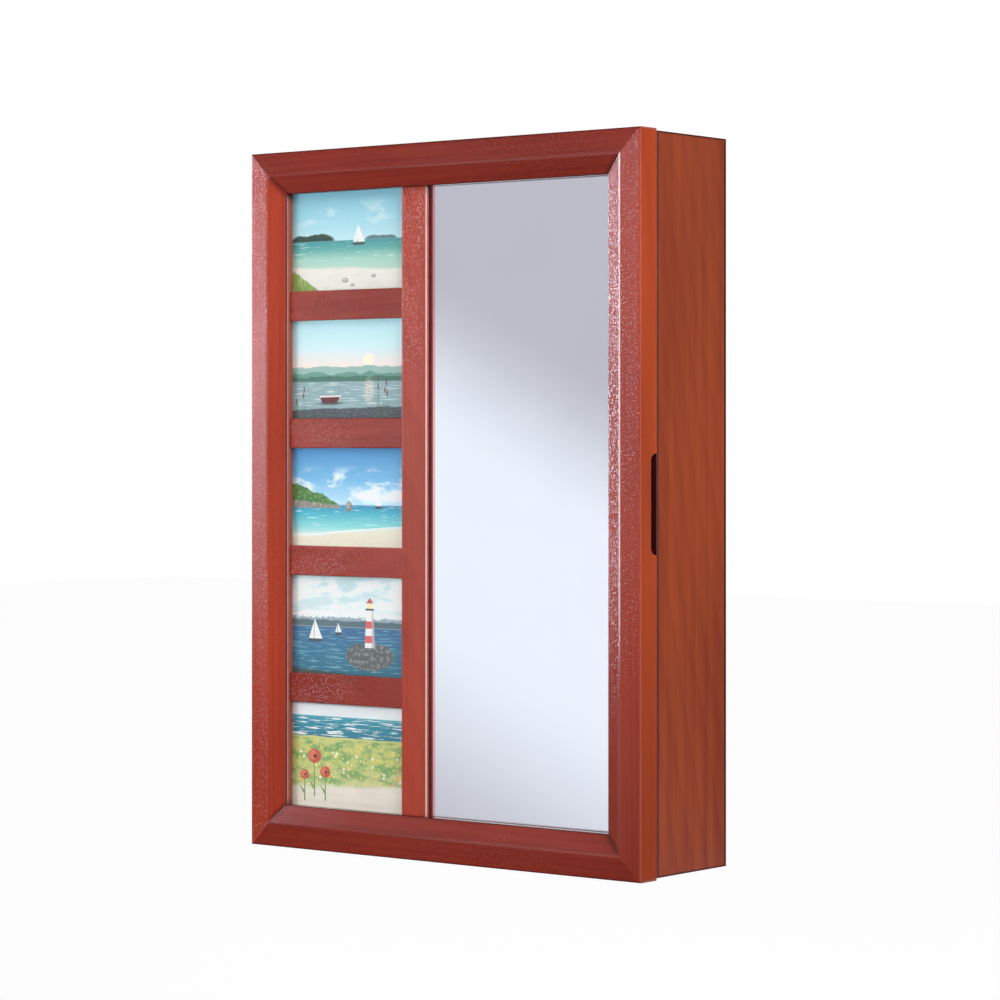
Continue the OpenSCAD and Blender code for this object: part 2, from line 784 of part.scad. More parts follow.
module hinge_screws(mirrored) {
    color(brass)
        for (z = [hinge_z, -hinge_z], row = screw_rows())
            translate([hinge_x + hinge_screw_x, hinge_y, z + row]) mirror([0, mirrored ? 1 : 0, 0])
                translate([0, door_gap / 2, 0]) rotate([90, 0, 0]) flat_screw(hinge_screw_l);
}

// Door frame
module door_top_rail() {
    color(wood) difference() {
        mitred_rail();
        tongue_groove();
        for (x = end_points()) end_point(x, 1);
    }
}

module door_bottom_rail() {
    color(wood) difference() {
        mirror([0, 0, 1]) mitred_rail();
        mirror([0, 0, 1]) tongue_groove();
        for (x = end_points()) end_point(x, -1);
    }
}

module door_hinge_stile() {
    color(wood) difference() {
        mitred_stile();
        leaf_recesses(true);
    }
}

module finger_notch() {
    along_x(rounded(
        [[door_back_y + over, -notch_l / 2], [door_back_y - notch_w, -notch_l / 2],
         [door_back_y - notch_w, notch_l / 2], [door_back_y + over, notch_l / 2]],
        [0, notch_r, notch_r, 0]), half_w - notch_in, half_w + over);
}

module strike_box(play) {
    block([catch_x - play, door_back_y - strike_t, catch_z - strike_h / 2 - play],
        [in_half_w + play, door_back_y + (play > 0 ? over : 0), catch_z + strike_h / 2 + play]);
}

module at_strike_screws() {
    for (z = [-1, 1])
        translate([catch_x + catch_w / 2, door_back_y, catch_z + z * strike_screw_pitch / 2])
            rotate([-90, 0, 0])
            children();
}

module door_latch_stile() {
    color(wood) difference() {
        mirror([1, 0, 0]) mitred_stile();
        finger_notch();
        strike_box(fit);
        at_strike_screws() flat_screw_hole(strike_screw_l);
        for (z = side_points()) side_point(mirror_x1 + seat_w, 1, z);
    }
}

module strike_plate() {
    color(steel) difference() {
        strike_box(0);
        at_strike_screws() flat_screw_hole(strike_screw_l);
    }
}

module strike_screws() {
    color(steel) at_strike_screws() flat_screw(strike_screw_l);
}

module door_bumpers() {
    color(felt) {
        bumpers(1);
        bumpers(-1);
    }
}

// Stile between the photos and the mirror
module divider_stile() {
    half_back = open_h + seat_w - glass_play;
    color(wood) difference() {
        union() {
            translate([0, 0, -open_h]) linear_extrude(2 * open_h)
                polygon(rounded(
                    [[photo_x1, seat_y], [photo_x1, bar_y], [mirror_x0, bar_y], [mirror_x0, seat_y],
                     [mirror_x0 - seat_w, seat_y], [mirror_x0 - seat_w, divider_back_y],
                     [photo_x1 + seat_w, divider_back_y], [photo_x1 + seat_w, seat_y]],
                    [0, bar_edge_r, min(divider_edge_r, seat_in - bar_in), 0, 0, 0, 0, 0]));
            block([photo_x1 + seat_w, seat_y, -half_back],
                [mirror_x0 - seat_w, divider_back_y, half_back]);
        }
        for (z = side_points()) side_point(mirror_x0 - seat_w, -1, z);
    }
}

// Bars between the photos, lapped behind the frame and the stile
module photo_bar(i) {
    z = bar_z(i);
    color(wood) difference() {
        union() {
            along_x(rounded(
                [[seat_y, z - bar_h / 2], [bar_y, z - bar_h / 2],
                 [bar_y, z + bar_h / 2], [seat_y, z + bar_h / 2],
                 [seat_y, z + bar_h / 2 - seat_w], [bar_back_y, z + bar_h / 2 - seat_w],
                 [bar_back_y, z - bar_h / 2 + seat_w], [seat_y, z - bar_h / 2 + seat_w]],
                [0, bar_edge_r, bar_edge_r, 0, 0, 0, 0, 0]), photo_x0 + bar_slit, photo_x1);
            block([photo_x0 - seat_w + glass_play, seat_y, z - bar_h / 2 + seat_w],
                [photo_x1 + seat_w, bar_back_y, z + bar_h / 2 - seat_w]);
        }
        round_y(photo_mid_x, z, bar_back_y - button_screw_in - screw_play, bar_back_y + over,
            button_screw_r + screw_play, button_screw_r + screw_play);
    }
}

module turn_button(i) {
    span = (button_l - button_w) / 2;
    z = bar_z(i);
    color(brass) difference() {
        union() {
            block([photo_mid_x - button_w / 2, button_y, z - span],
                [photo_mid_x + button_w / 2, button_y + button_t, z + span]);
            for (end = [-span, span])
                round_y(photo_mid_x, z + end, button_y, button_y + button_t, button_w / 2, button_w / 2);
        }
        round_y(photo_mid_x, z, button_y - over, button_y + button_t + over,
            button_screw_r + button_play, button_screw_r + button_play);
    }
}

module button_screws() {
    color(brass)
        for (i = [0:photos_n - 2]) difference() {
            union() {
                round_y(photo_mid_x, bar_z(i), bar_back_y - button_screw_in, button_head_y + button_head_h,
                    button_screw_r, button_screw_r);
                round_y(photo_mid_x, bar_z(i), button_head_y, button_head_y + button_head_h,
                    button_head_r - button_head_taper, button_head_r);
            }
            translate([photo_mid_x, button_head_y + button_head_h, bar_z(i)])
                block([-button_head_r, -driver_h, -driver_w / 2], [button_head_r, over, driver_w / 2]);
        }
}

// What lies in the seats: panes, prints and boards, and the mirror with its board
module photo_sheet(i, y, thickness, up, down) {
    reach = seat_w - glass_play;
    block([photo_x0 - reach, y, photo_bottom(i) - reach - down],
        [photo_x1 + reach, y + thickness, photo_top(i) + reach + up]);
}

module photo_panes() {
    color([0.85, 0.92, 0.95, 0.35])
        for (i = [0:photos_n - 1]) photo_sheet(i, seat_y, pane_t, 0, 0);
}

module photo(i) {
    color([0.45, 0.72, 0.85]) photo_sheet(i, print_y, print_t, 0, 0);
}

module photo_backer(i) {
    color(board) photo_sheet(i, photo_back_y, photo_back_t,
        i == 0 ? tongue : 0, i == photos_n - 1 ? tongue : 0);
}

module mirror_sheet(y, thickness) {
    reach = seat_w - glass_play;
    block([mirror_x0 - reach, y, -open_h - reach], [mirror_x1 + reach, y + thickness, open_h + reach]);
}

module mirror_glass() {
    color([0.82, 0.84, 0.88]) mirror_sheet(seat_y, mirror_t);
}

module mirror_backer() {
    color(board) mirror_sheet(mirror_back_y, mirror_back_t);
}

module glazing_points() {
    color(steel) {
        for (z = side_points()) {
            side_point(mirror_x1 + seat_w, 1, z);
            side_point(mirror_x0 - seat_w, -1, z);
        }
        for (x = end_points(), dir = [-1, 1]) end_point(x, dir);
    }
}

side_board_left();
side_board_right();
top_board();
bottom_board();
back_panel();
hanging_rail();
velvet_linings();
necklace_hooks();
upright_divider();
earring_bars();
shelf(middle_shelf_z);  // middle_shelf
shelf(lower_shelf_z);  // lower_shelf
shelf_lips();
ring_rolls();
bracelet_rod();
rod_sockets();
lower_partitions();
magnet_catch();
catch_magnet();
catch_screws();
case_leaf(hinge_z);  // hinge_upper_case_leaf
case_leaf(-hinge_z);  // hinge_lower_case_leaf
hinge_pins();
hinge_screws(false);  // case_hinge_screws
door_top_rail();
door_bottom_rail();
door_hinge_stile();
door_latch_stile();
divider_stile();
photo_bar(0);  // photo_bar_1
photo_bar(1);  // photo_bar_2
photo_bar(2);  // photo_bar_3
photo_bar(3);  // photo_bar_4
mirror_glass();  // mirror
mirror_backer();
glazing_points();
photo_panes();
photo(0);  // photo_1
photo(1);  // photo_2
photo(2);  // photo_3
photo(3);  // photo_4
photo(4);  // photo_5
photo_backer(0);  // photo_backer_1
photo_backer(1);  // photo_backer_2
photo_backer(2);  // photo_backer_3
photo_backer(3);  // photo_backer_4
photo_backer(4);  // photo_backer_5
turn_button(0);  // turn_button_1
turn_button(1);  // turn_button_2
turn_button(2);  // turn_button_3
turn_button(3);  // turn_button_4
button_screws();
strike_plate();
strike_screws();
door_bumpers();
door_leaf(hinge_z);  // hinge_upper_door_leaf
door_leaf(-hinge_z);  // hinge_lower_door_leaf
hinge_screws(true);  // door_hinge_screws
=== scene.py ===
import math

import bpy
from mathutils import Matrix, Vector

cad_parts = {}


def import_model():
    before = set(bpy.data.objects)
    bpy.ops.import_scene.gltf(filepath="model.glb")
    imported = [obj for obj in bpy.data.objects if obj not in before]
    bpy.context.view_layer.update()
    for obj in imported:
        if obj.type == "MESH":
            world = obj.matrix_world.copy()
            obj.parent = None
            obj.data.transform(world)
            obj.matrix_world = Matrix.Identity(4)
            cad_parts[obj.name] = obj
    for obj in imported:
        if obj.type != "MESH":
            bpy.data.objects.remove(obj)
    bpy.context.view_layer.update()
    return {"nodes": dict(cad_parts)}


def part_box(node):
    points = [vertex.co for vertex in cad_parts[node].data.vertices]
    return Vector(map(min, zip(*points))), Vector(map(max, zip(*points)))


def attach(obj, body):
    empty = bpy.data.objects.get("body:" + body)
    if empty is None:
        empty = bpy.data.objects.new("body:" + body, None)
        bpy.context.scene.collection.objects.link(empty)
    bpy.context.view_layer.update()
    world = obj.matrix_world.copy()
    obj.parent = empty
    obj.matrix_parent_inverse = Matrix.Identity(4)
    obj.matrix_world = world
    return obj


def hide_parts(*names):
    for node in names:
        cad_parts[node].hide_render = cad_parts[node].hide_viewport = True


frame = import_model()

nodes = frame["nodes"]
mm = 0.001
straight = math.radians(90)

# Places on the cabinet, in metres

door_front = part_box("door_latch_stile")[0].y
door_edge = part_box("door_latch_stile")[1].x
door_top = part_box("door_top_rail")[1].z
frame_wide, ridge_in, lip_deep = 35.1 * mm, 19.4 * mm, 6.5 * mm
bar_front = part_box("divider_stile")[0].y
divider_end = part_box("divider_stile")[1].x
bar_depth = 10.5 * mm
case_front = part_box("side_board_right")[0].y
case_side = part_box("side_board_right")[1].x
case_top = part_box("top_board")[1].z
hold_half = 39.5 * mm
bumper_radius = 4.5 * mm
floor_level = -0.75

# Tones: each pair is the deep and the fair one

upright_tones = (0.255, 0.022, 0.010), (0.500, 0.060, 0.025)
rail_tones = (0.150, 0.013, 0.008), (0.345, 0.040, 0.021)
bar_tones = (0.190, 0.015, 0.009), (0.420, 0.048, 0.024)
edge_tones = (0.340, 0.043, 0.016), (0.530, 0.088, 0.028)
# Lighter tones painted on the hinge stile's lip face, as painted light.
lit_lip_tones = (0.400, 0.085, 0.055), (0.560, 0.160, 0.105)
case_tones = (0.243, 0.036, 0.017), (0.421, 0.080, 0.025)
inner_tones = (0.150, 0.030, 0.014), (0.340, 0.088, 0.045)
# The tone of painted shade: dark lines at edges and in corners, and the darkening along Z.
shade_tone = (0.050, 0.008, 0.007)
# Painted highlights and reflection: the tones of glints on the pits, of the bright lines on the lip, the
# divider's arris and the latch stile's ridge, and of the red wood's reflection in the mirror.
glint_tone = (0.80, 0.42, 0.40)
highlight_tone = (0.86, 0.58, 0.55)
ridge_highlight_tone = (0.95, 0.86, 0.88)
reflected_wood_tone = (0.93, 0.42, 0.40)
plain_white = (1.0, 1.0, 1.0)
wall_light = (0.95, 0.97, 1.0)
cold_light = (0.98, 1.0, 1.17)
print_gain = (1.22, 1.22, 1.22)

# Levels, sizes of the studio in metres, and the prints' height in millimetres

few_pits = 0.12
fill_level, floor_glow = 0.28, 0.68
lamp_size, softbox_high, softbox_z = 0.4, 1.6, 0.15
print_high = 82.0


# Writing node trees

class Graph:
    """Writes a node tree in short calls. A value is a number, a tuple or another node's output."""

    def __init__(self, tree):
        self.tree = tree

    def feed(self, sockets, values):
        """Links or sets the sockets that the values name."""
        for key, value in values.items():
            if isinstance(value, bpy.types.NodeSocket):
                self.tree.links.new(value, sockets[key])
            elif sockets[key].type == "RGBA" and len(value) == 3:
                sockets[key].default_value = (*value, 1.0)
            else:
                sockets[key].default_value = value

    def node(self, kind, inputs=None, **settings):
        made = self.tree.nodes.new(kind)
        for name, value in settings.items():
            setattr(made, name, value)
        self.feed(made.inputs, inputs or {})
        return made

    def math(self, operation, a, b=0.0, c=0.0, clamp=False):
        made = self.node("ShaderNodeMath", {0: a, 1: b, 2: c}, operation=operation, use_clamp=clamp)
        return made.outputs[0]

    def add(self, a, b):
        return self.math("ADD", a, b)

    def minus(self, a, b):
        return self.math("SUBTRACT", a, b)

    def times(self, first, *more):
        for value in more:
            first = self.math("MULTIPLY", first, value)
        return first

    def times_add(self, a, b, c, clamp=False):
        return self.math("MULTIPLY_ADD", a, b, c, clamp)

    def most(self, first, *more):
        for value in more:
            first = self.math("MAXIMUM", first, value)
        return first

    def absolute(self, a):
        return self.math("ABSOLUTE", a)

    def below(self, a, b):
        return self.math("LESS_THAN", a, b)

    def above(self, a, b):
        return self.math("GREATER_THAN", a, b)

    def length(self, a, b):
        return self.math("SQRT", self.add(self.times(a, a), self.times(b, b)))

    def mix(self, share, a, b, blend="MIX"):
        made = self.node("ShaderNodeMix", {0: share, 6: a, 7: b}, data_type="RGBA", blend_type=blend)
        return made.outputs[2]

    def spread(self, value, low, high, start=0.0, end=1.0, kind="LINEAR"):
        """Maps the stretch from low to high onto the stretch from start to end."""
        return self.node("ShaderNodeMapRange", {0: value, 1: low, 2: high, 3: start, 4: end},
                         interpolation_type=kind).outputs[0]

    def smooth(self, *stretch):
        """The same with soft ends."""
        return self.spread(*stretch, kind="SMOOTHSTEP")

    def ramp(self, value, stops):
        made = self.node("ShaderNodeValToRGB", {0: value})
        marks = made.color_ramp.elements
        while len(marks) < len(stops):
            marks.new(0.5)
        for mark, (place, colour) in zip(marks, stops):
            mark.position = place
            mark.color = (*colour, 1.0)
        return made.outputs[0]

    def noise(self, vector, scale=1.0, detail=2.0, roughness=0.5, distortion=0.0):
        made = self.node("ShaderNodeTexNoise", {"Vector": vector, "Scale": scale, "Detail": detail,
                                                "Roughness": roughness, "Distortion": distortion})
        return made.outputs[0]

    def cells(self, vector, scale=1.0):
        return self.node("ShaderNodeTexVoronoi", {"Vector": vector, "Scale": scale}).outputs

    def placed(self, vector, scale=(1.0, 1.0, 1.0), shift=(0.0, 0.0, 0.0), turn=(0.0, 0.0, 0.0)):
        made = self.node("ShaderNodeMapping", {"Vector": vector, "Location": shift,
                                               "Rotation": turn, "Scale": scale})
        return made.outputs[0]

    def apart(self, vector):
        return self.node("ShaderNodeSeparateXYZ", {0: vector}).outputs

    def together(self, x, y, z):
        return self.node("ShaderNodeCombineXYZ", {0: x, 1: y, 2: z}).outputs[0]

    def coordinates(self):
        return self.node("ShaderNodeTexCoord").outputs["Object"]

    def group(self, tree, values):
        return self.node("ShaderNodeGroup", values, node_tree=tree).outputs

    def bump(self, height, distance, strength=1.0, normal=None):
        inputs = {"Height": height, "Distance": distance, "Strength": strength}
        if normal is not None:
            inputs["Normal"] = normal
        return self.node("ShaderNodeBump", inputs).outputs[0]


FLOAT, COLOUR, VECTOR = "NodeSocketFloat", "NodeSocketColor", "NodeSocketVector"


def shared_effect(takes, gives):
    """Turns a function that writes nodes into a node group of its name, with these named sockets."""
    def make(build):
        tree = bpy.data.node_groups.new(build.__name__, "ShaderNodeTree")
        for way, sockets in (("INPUT", takes), ("OUTPUT", gives)):
            for label, kind in sockets.items():
                tree.interface.new_socket(label, in_out=way, socket_type=kind)
        g = Graph(tree)
        g.node("NodeGroupOutput", build(g, g.node("NodeGroupInput").outputs))
        return tree
    return make


# Shared effects

@shared_effect({"Vector": VECTOR, "Deep": COLOUR, "Fair": COLOUR, "Figure": FLOAT, "Streaks": FLOAT,
                "Rings": FLOAT, "Tilt": FLOAT}, {"Colour": COLOUR, "Tone": FLOAT})
def wood_grain(g, takes):
    """Growth rings, streaks and fibres of a board whose grain runs along Z, in metres."""
    place, streaks = takes["Vector"], takes["Streaks"]
    x, y, z = g.apart(place)
    drift = g.noise(g.placed(place, (9.0, 9.0, 1.6)))
    depth = g.add(g.times_add(z, takes["Tilt"], 0.06), g.times(y, 0.6))
    rings = g.math("FRACT", g.times_add(drift, 3.0, g.times(g.length(x, depth), takes["Rings"])))
    late = g.minus(g.math("POWER", rings, 2.0), g.smooth(rings, 0.86, 1.0))
    broad = g.noise(g.placed(place, (105.0, 105.0, 2.4), (0.9, 1.9, 0.2)), 1.0, 2.0, 0.6)
    fine = g.noise(g.placed(place, (320.0, 320.0, 4.5)), 1.0, 3.0, 0.6)
    fibres = g.noise(g.placed(place, (1400.0, 1400.0, 60.0)))
    patches = g.noise(g.placed(place, (13.0, 13.0, 4.0), (3.1, 0.4, 1.7)))
    tone = g.times_add(g.minus(0.35, late), takes["Figure"], 0.5)
    for layer, share in ((broad, streaks), (fine, g.times(streaks, 0.5)), (patches, 1.1)):
        tone = g.times_add(g.minus(layer, 0.5), share, tone)
    tone = g.times_add(g.minus(fibres, 0.5), 0.16, tone, clamp=True)
    return {"Colour": g.mix(tone, takes["Deep"], takes["Fair"]), "Tone": tone}


@shared_effect({"Vector": VECTOR}, {"Height": FLOAT, "Mask": FLOAT})
def lacquer_pits(g, takes):
    """The little pits where lacquer sinks into the pores: a height and a mask. The grain runs along Z."""
    place = takes["Vector"]
    cells = g.cells(g.placed(place, (720.0, 720.0, 380.0)))
    crowd = g.noise(g.placed(place, (55.0, 55.0, 14.0), (0.7, 2.3, 5.1)))
    reach = g.times_add(g.minus(crowd, 0.5), 0.5, 0.42)
    mask = g.smooth(g.math("DIVIDE", cells["Distance"], reach), 1.0, 0.45)
    waves = g.noise(g.placed(place, (170.0, 170.0, 90.0), (0.3, 0.4, 0.7)), 1.0, 1.0)
    return {"Height": g.times_add(waves, 0.5, g.times(mask, -1.0)), "Mask": mask}


@shared_effect({"Vector": VECTOR}, {"PaintedShade": FLOAT, "Flat": FLOAT})
def painted_shade_lines(g, takes):
    """Painted shade on the door: dark lines at the inner edge where the frame meets the panel, in the inside
    corners where the bevels meet at the mitres, and at the top, bottom and back edges; and which faces lie
    flat."""
    x, y, z = g.apart(takes["Vector"])
    from_side = g.minus(door_edge, g.absolute(x))
    from_end = g.minus(door_top, g.absolute(z))
    near = g.math("MINIMUM", from_side, from_end)
    behind = g.minus(y, door_front)
    # Painted shade: inner is the shadow at the panel's edge, mitre the shade where the bevels meet, outer and
    # back the dark edges.
    inner = g.times(g.smooth(near, frame_wide - 0.9 * mm, frame_wide - 0.3 * mm),
                    g.below(behind, lip_deep + 0.4 * mm), g.below(near, frame_wide + 0.5 * mm))
    mitre = g.times(g.smooth(g.absolute(g.minus(from_side, from_end)), 7.0 * mm, 0.0),
                    g.smooth(near, ridge_in - 1.0 * mm, ridge_in + 4.0 * mm), g.below(near, frame_wide), 0.55)
    outer = g.times(g.smooth(from_end, 1.4 * mm, 0.6 * mm), g.below(behind, 1.4 * mm))
    back = g.times(g.above(behind, 23.0 * mm), g.below(near, 0.4 * mm))
    flat = g.most(g.below(near, ridge_in), g.above(near, frame_wide))
    return {"PaintedShade": g.most(inner, mitre, g.times(g.most(outer, back), 0.9)),
            "Flat": g.times(flat, g.below(behind, bar_depth + 0.3 * mm))}


@shared_effect({"Round": FLOAT, "Rub": FLOAT}, {"Rubbed": FLOAT, "Normal": VECTOR})
def eased_edges(g, takes):
    """Edges that look sanded round, with a mask of where the finish is rubbed."""
    wide, fine = (g.node("ShaderNodeBevel", {"Radius": takes[reach]}, samples=4).outputs[0]
                  for reach in ("Rub", "Round"))
    true = g.node("ShaderNodeNewGeometry").outputs["Normal"]
    lean = g.node("ShaderNodeVectorMath", {0: wide, 1: true}, operation="DOT_PRODUCT").outputs["Value"]
    broken = g.noise(g.coordinates(), 90.0, 3.0)
    return {"Rubbed": g.times(g.smooth(lean, 0.995, 0.86), g.smooth(broken, 0.3, 0.62)), "Normal": fine}


@shared_effect({"Vector": VECTOR}, {"Dust": FLOAT})
def fine_dust(g, takes):
    """Faint handling marks and dust, from 0 to 1."""
    clouds = g.noise(takes["Vector"], 11.0, 4.0, 0.6)
    specks = g.cells(takes["Vector"], 420.0)["Distance"]
    marks = g.add(g.times(clouds, 0.9), g.times(g.smooth(specks, 0.12, 0.03), 0.2))
    return {"Dust": g.smooth(marks, 0.3, 1.2)}


@shared_effect({"Vector": VECTOR, "Scale": FLOAT}, {"Tone": FLOAT, "Height": FLOAT})
def pile(g, takes):
    """The brushed pile of velvet or felt: a tone and a height."""
    tufts = g.noise(takes["Vector"], takes["Scale"], 3.0, 0.7)
    brushed = g.noise(g.placed(takes["Vector"], (1.0, 1.0, 0.35)), 38.0, 3.0, 0.55, 0.8)
    tone = g.add(g.times(tufts, 0.75), g.times(brushed, 0.3))
    return {"Tone": g.smooth(tone, 0.3, 0.8), "Height": tufts}


@shared_effect({"Vector": VECTOR, "Stains": VECTOR}, {"Lines": FLOAT, "Stains": FLOAT})
def brushing(g, takes):
    """The fine drawn lines of metal and its stains, each from its own coordinates."""
    stains = g.noise(takes["Stains"], 60.0, 3.0, 0.6)
    return {"Lines": g.noise(takes["Vector"], 1.0, 4.0, 0.65), "Stains": g.smooth(stains, 0.35, 0.7)}


# Materials

def empty_material(name):
    """A material with an empty node tree, and that tree's graph."""
    material = bpy.data.materials.new(name)
    material.use_nodes = True
    material.node_tree.nodes.clear()
    return material, Graph(material.node_tree)


def new_material(name):
    """A material, its graph, its Principled shader's sockets and the output's socket."""
    material, g = empty_material(name)
    surface = g.node("ShaderNodeBsdfPrincipled")
    out = g.node("ShaderNodeOutputMaterial", {"Surface": surface.outputs[0]})
    return material, g, surface.inputs, out.inputs


def dress(name, material):
    """Gives a CAD node this material all over."""
    slots = nodes[name].data.materials
    slots.clear()
    slots.append(material)


def shaded(tones, share):
    """Lighter or darker copies of the same tones, times share: painted light and shade on boards lit
    differently.
    """
    return tuple(tuple(c * share for c in tone) for tone in tones)


def door_painted_shade(g, here):
    """The door's painted shade lines."""
    return g.group(painted_shade_lines, {"Vector": here})["PaintedShade"]


def case_painted_shade(g, here):
    """Painted shade on the case: dark lines along the arrises of its sides, and its front edges painted dark
    as the shade behind the door, darkest where the finger hold's shadow falls.
    """
    x, y, z = g.apart(here)
    height = g.absolute(z)
    joint = g.below(y, case_front + 2.0 * mm)
    back = g.smooth(y, -4.0 * mm, -3.2 * mm)
    ends = g.smooth(height, case_top - 1.8 * mm, case_top - 1.0 * mm)
    arris = g.times(g.most(joint, back, ends), g.above(g.absolute(x), case_side - 0.4 * mm), 0.88)
    # Painted shadow of the finger hold on the right front edge; elsewhere the front edges get painted shade
    # at 0.55.
    hold_shade = g.smooth(height, hold_half + 22.0 * mm, hold_half - 2.0 * mm)
    hold_shade = g.spread(g.times(hold_shade, g.above(x, 0.0)), 0.0, 1.0, 0.55, 1.0)
    return g.most(arris, g.times(g.below(y, case_front + 0.3 * mm), hold_shade))


def lip_light(g, here, tone, lip, colour):
    """The hinge stile's lip face in lighter tones, painted light, with a painted highlight line along its
    front.
    """
    x, y, _ = g.apart(here)
    start = door_front + lip_deep
    sunk = g.times(g.above(x, frame_wide - door_edge - 0.3 * mm), g.above(y, start + 1.2 * mm))
    # Painted highlight along the lip's front.
    line = g.smooth(y, start + 2.4 * mm, start + 1.8 * mm, 0.0, 0.7)
    colour = g.mix(sunk, colour, g.mix(tone, *lip))
    return g.mix(g.times(sunk, line), colour, highlight_tone)


def ridge_highlight(g, here, grown, colour):
    """A painted highlight on the arris between the latch stile's band and its bevel, where the lacquer is
    coarse.
    """
    off = g.absolute(g.minus(g.apart(here)[0], door_edge - ridge_in))
    highlight = g.times(g.smooth(off, 1.0 * mm, 0.4 * mm), g.smooth(grown, 0.5, 1.0, 0.0, 0.8))
    return g.mix(highlight, colour, ridge_highlight_tone)


def rim_highlight(g, here, rim, colour):
    """A painted highlight on the arris of a board that ends at rim."""
    x, y, _ = g.apart(here)
    bright = g.times(g.smooth(x, rim - 2.1 * mm, rim - 0.9 * mm), g.below(y, bar_front + 1.3 * mm))
    return g.mix(bright, colour, highlight_tone)


def cherry(name, number, along, tones, figure=0.16, streaks=0.6, rings=170.0, tilt=0.1, gloss=0.14,
           pits=0.26, rounding=0.9, worn=1.5, painted_shade=None, edge=None, lip=None, flecks=0.0,
           coarse=None, falloff_shade=None, rim=None):
    """Lacquered cherry. Each board has its own cut of the grain. edge gives side grain its own tones, and lip
    the lighter tones of the hinge stile's lip, painted light. coarse is the axis and the stretch along which
    the pits grow, deeper the stretch along Z over which painted shade darkens the board and by how much, rim
    the place of a painted highlight along an arris, stain the painted shade lines, and flecks the share of
    painted glints."""
    material, g, shader, _ = new_material(f"cherry_{name}")
    deep, fair = tones
    here = g.coordinates()
    turn = (0.0, straight, 0.0) if along == "X" else (0.0, 0.0, 0.0)
    place = g.placed(here, turn=turn, shift=(0.011 * number, 0.007 * number, 0.23 * number))
    grain = g.group(wood_grain, {"Vector": place, "Deep": deep, "Fair": fair, "Figure": figure,
                                 "Streaks": streaks, "Rings": rings, "Tilt": tilt})
    pit = g.group(lacquer_pits, {"Vector": place})
    edges = g.group(eased_edges, {"Round": rounding * mm, "Rub": 1.2 * mm})
    dust = g.group(fine_dust, {"Vector": here})["Dust"]
    colour, mask, height = grain["Colour"], pit["Mask"], pit["Height"]
    if coarse:
        axis, start, end = coarse
        grown = g.smooth(g.apart(here)[axis], start, end, few_pits, 1.0)
        mask, height = g.times(mask, grown), g.times(height, grown)
    if edge:
        side = g.smooth(g.apart(here)[0], door_edge - 0.9 * mm, door_edge - 0.3 * mm)
        colour = g.mix(side, colour, g.mix(grain["Tone"], *edge))
        plain = g.spread(side, 0.0, 1.0, 1.0, few_pits)
        mask, height = g.times(mask, plain), g.times(height, plain)
    if lip:
        colour = lip_light(g, here, grain["Tone"], lip, colour)
    # Painted glints: pale specks on the pits of flat faces, standing for the lacquer's sparkle.
    if flecks:
        flat = g.group(painted_shade_lines, {"Vector": here})["Flat"]
        colour = g.mix(g.times(mask, flat, flecks), colour, glint_tone)
    # Painted shade: the board darkens along Z, the latch stile towards its foot and the case's sides towards
    # their top.
    if falloff_shade:
        start, end, most = falloff_shade
        colour = g.mix(g.smooth(g.apart(here)[2], start, end, 0.0, most), colour, shade_tone)
    rubbed = tuple(min(1.0, c * worn) for c in fair)
    colour = g.mix(g.times(edges["Rubbed"], 0.6), colour, rubbed)
    # Painted shade lines along edges and in corners, on the door and on the case.
    if painted_shade:
        colour = g.mix(painted_shade(g, here), colour, shade_tone)
    # Painted highlight along the latch stile's ridge.
    if edge:
        colour = ridge_highlight(g, here, grown, colour)
    # Painted highlight along the divider's right arris.
    if rim:
        colour = rim_highlight(g, here, rim, colour)
    rough = g.times_add(mask, -0.15 * pits, gloss)
    g.feed(shader, {"Base Color": colour, "Roughness": g.times_add(dust, 0.07, rough),
                    "Specular IOR Level": 0.5, "Normal": g.bump(height, pits * mm, 1.0, edges["Normal"])})
    return material


def velvet(name, deep, fair):
    material, g, shader, _ = new_material(name)
    tuft = g.group(pile, {"Vector": g.coordinates(), "Scale": 850.0})
    g.feed(shader, {"Base Color": g.mix(tuft["Tone"], deep, fair), "Roughness": 0.95,
                    "Normal": g.bump(tuft["Height"], 0.35 * mm, 0.8),
                    "Specular IOR Level": 0.2, "Sheen Weight": 0.5, "Sheen Roughness": 0.4})
    return material


def metal(name, base, stained, rough):
    material, g, shader, _ = new_material(name)
    place = g.coordinates()
    finish = g.group(brushing, {"Vector": g.placed(place, (2600.0, 2600.0, 156.0)), "Stains": place})
    edges = g.group(eased_edges, {"Round": 0.2 * mm, "Rub": 0.5 * mm})
    colour = g.mix(g.times(finish["Stains"], 0.45), base, stained)
    bright = tuple(min(1.0, c * 1.15) for c in base)
    g.feed(shader, {"Base Color": g.mix(g.times(edges["Rubbed"], 0.7), colour, bright), "Metallic": 1.0,
                    "Roughness": g.spread(finish["Lines"], 0.25, 0.75, rough - 0.08, rough + 0.12),
                    "Normal": g.bump(finish["Lines"], 0.03 * mm, 0.6, edges["Normal"])})
    return material


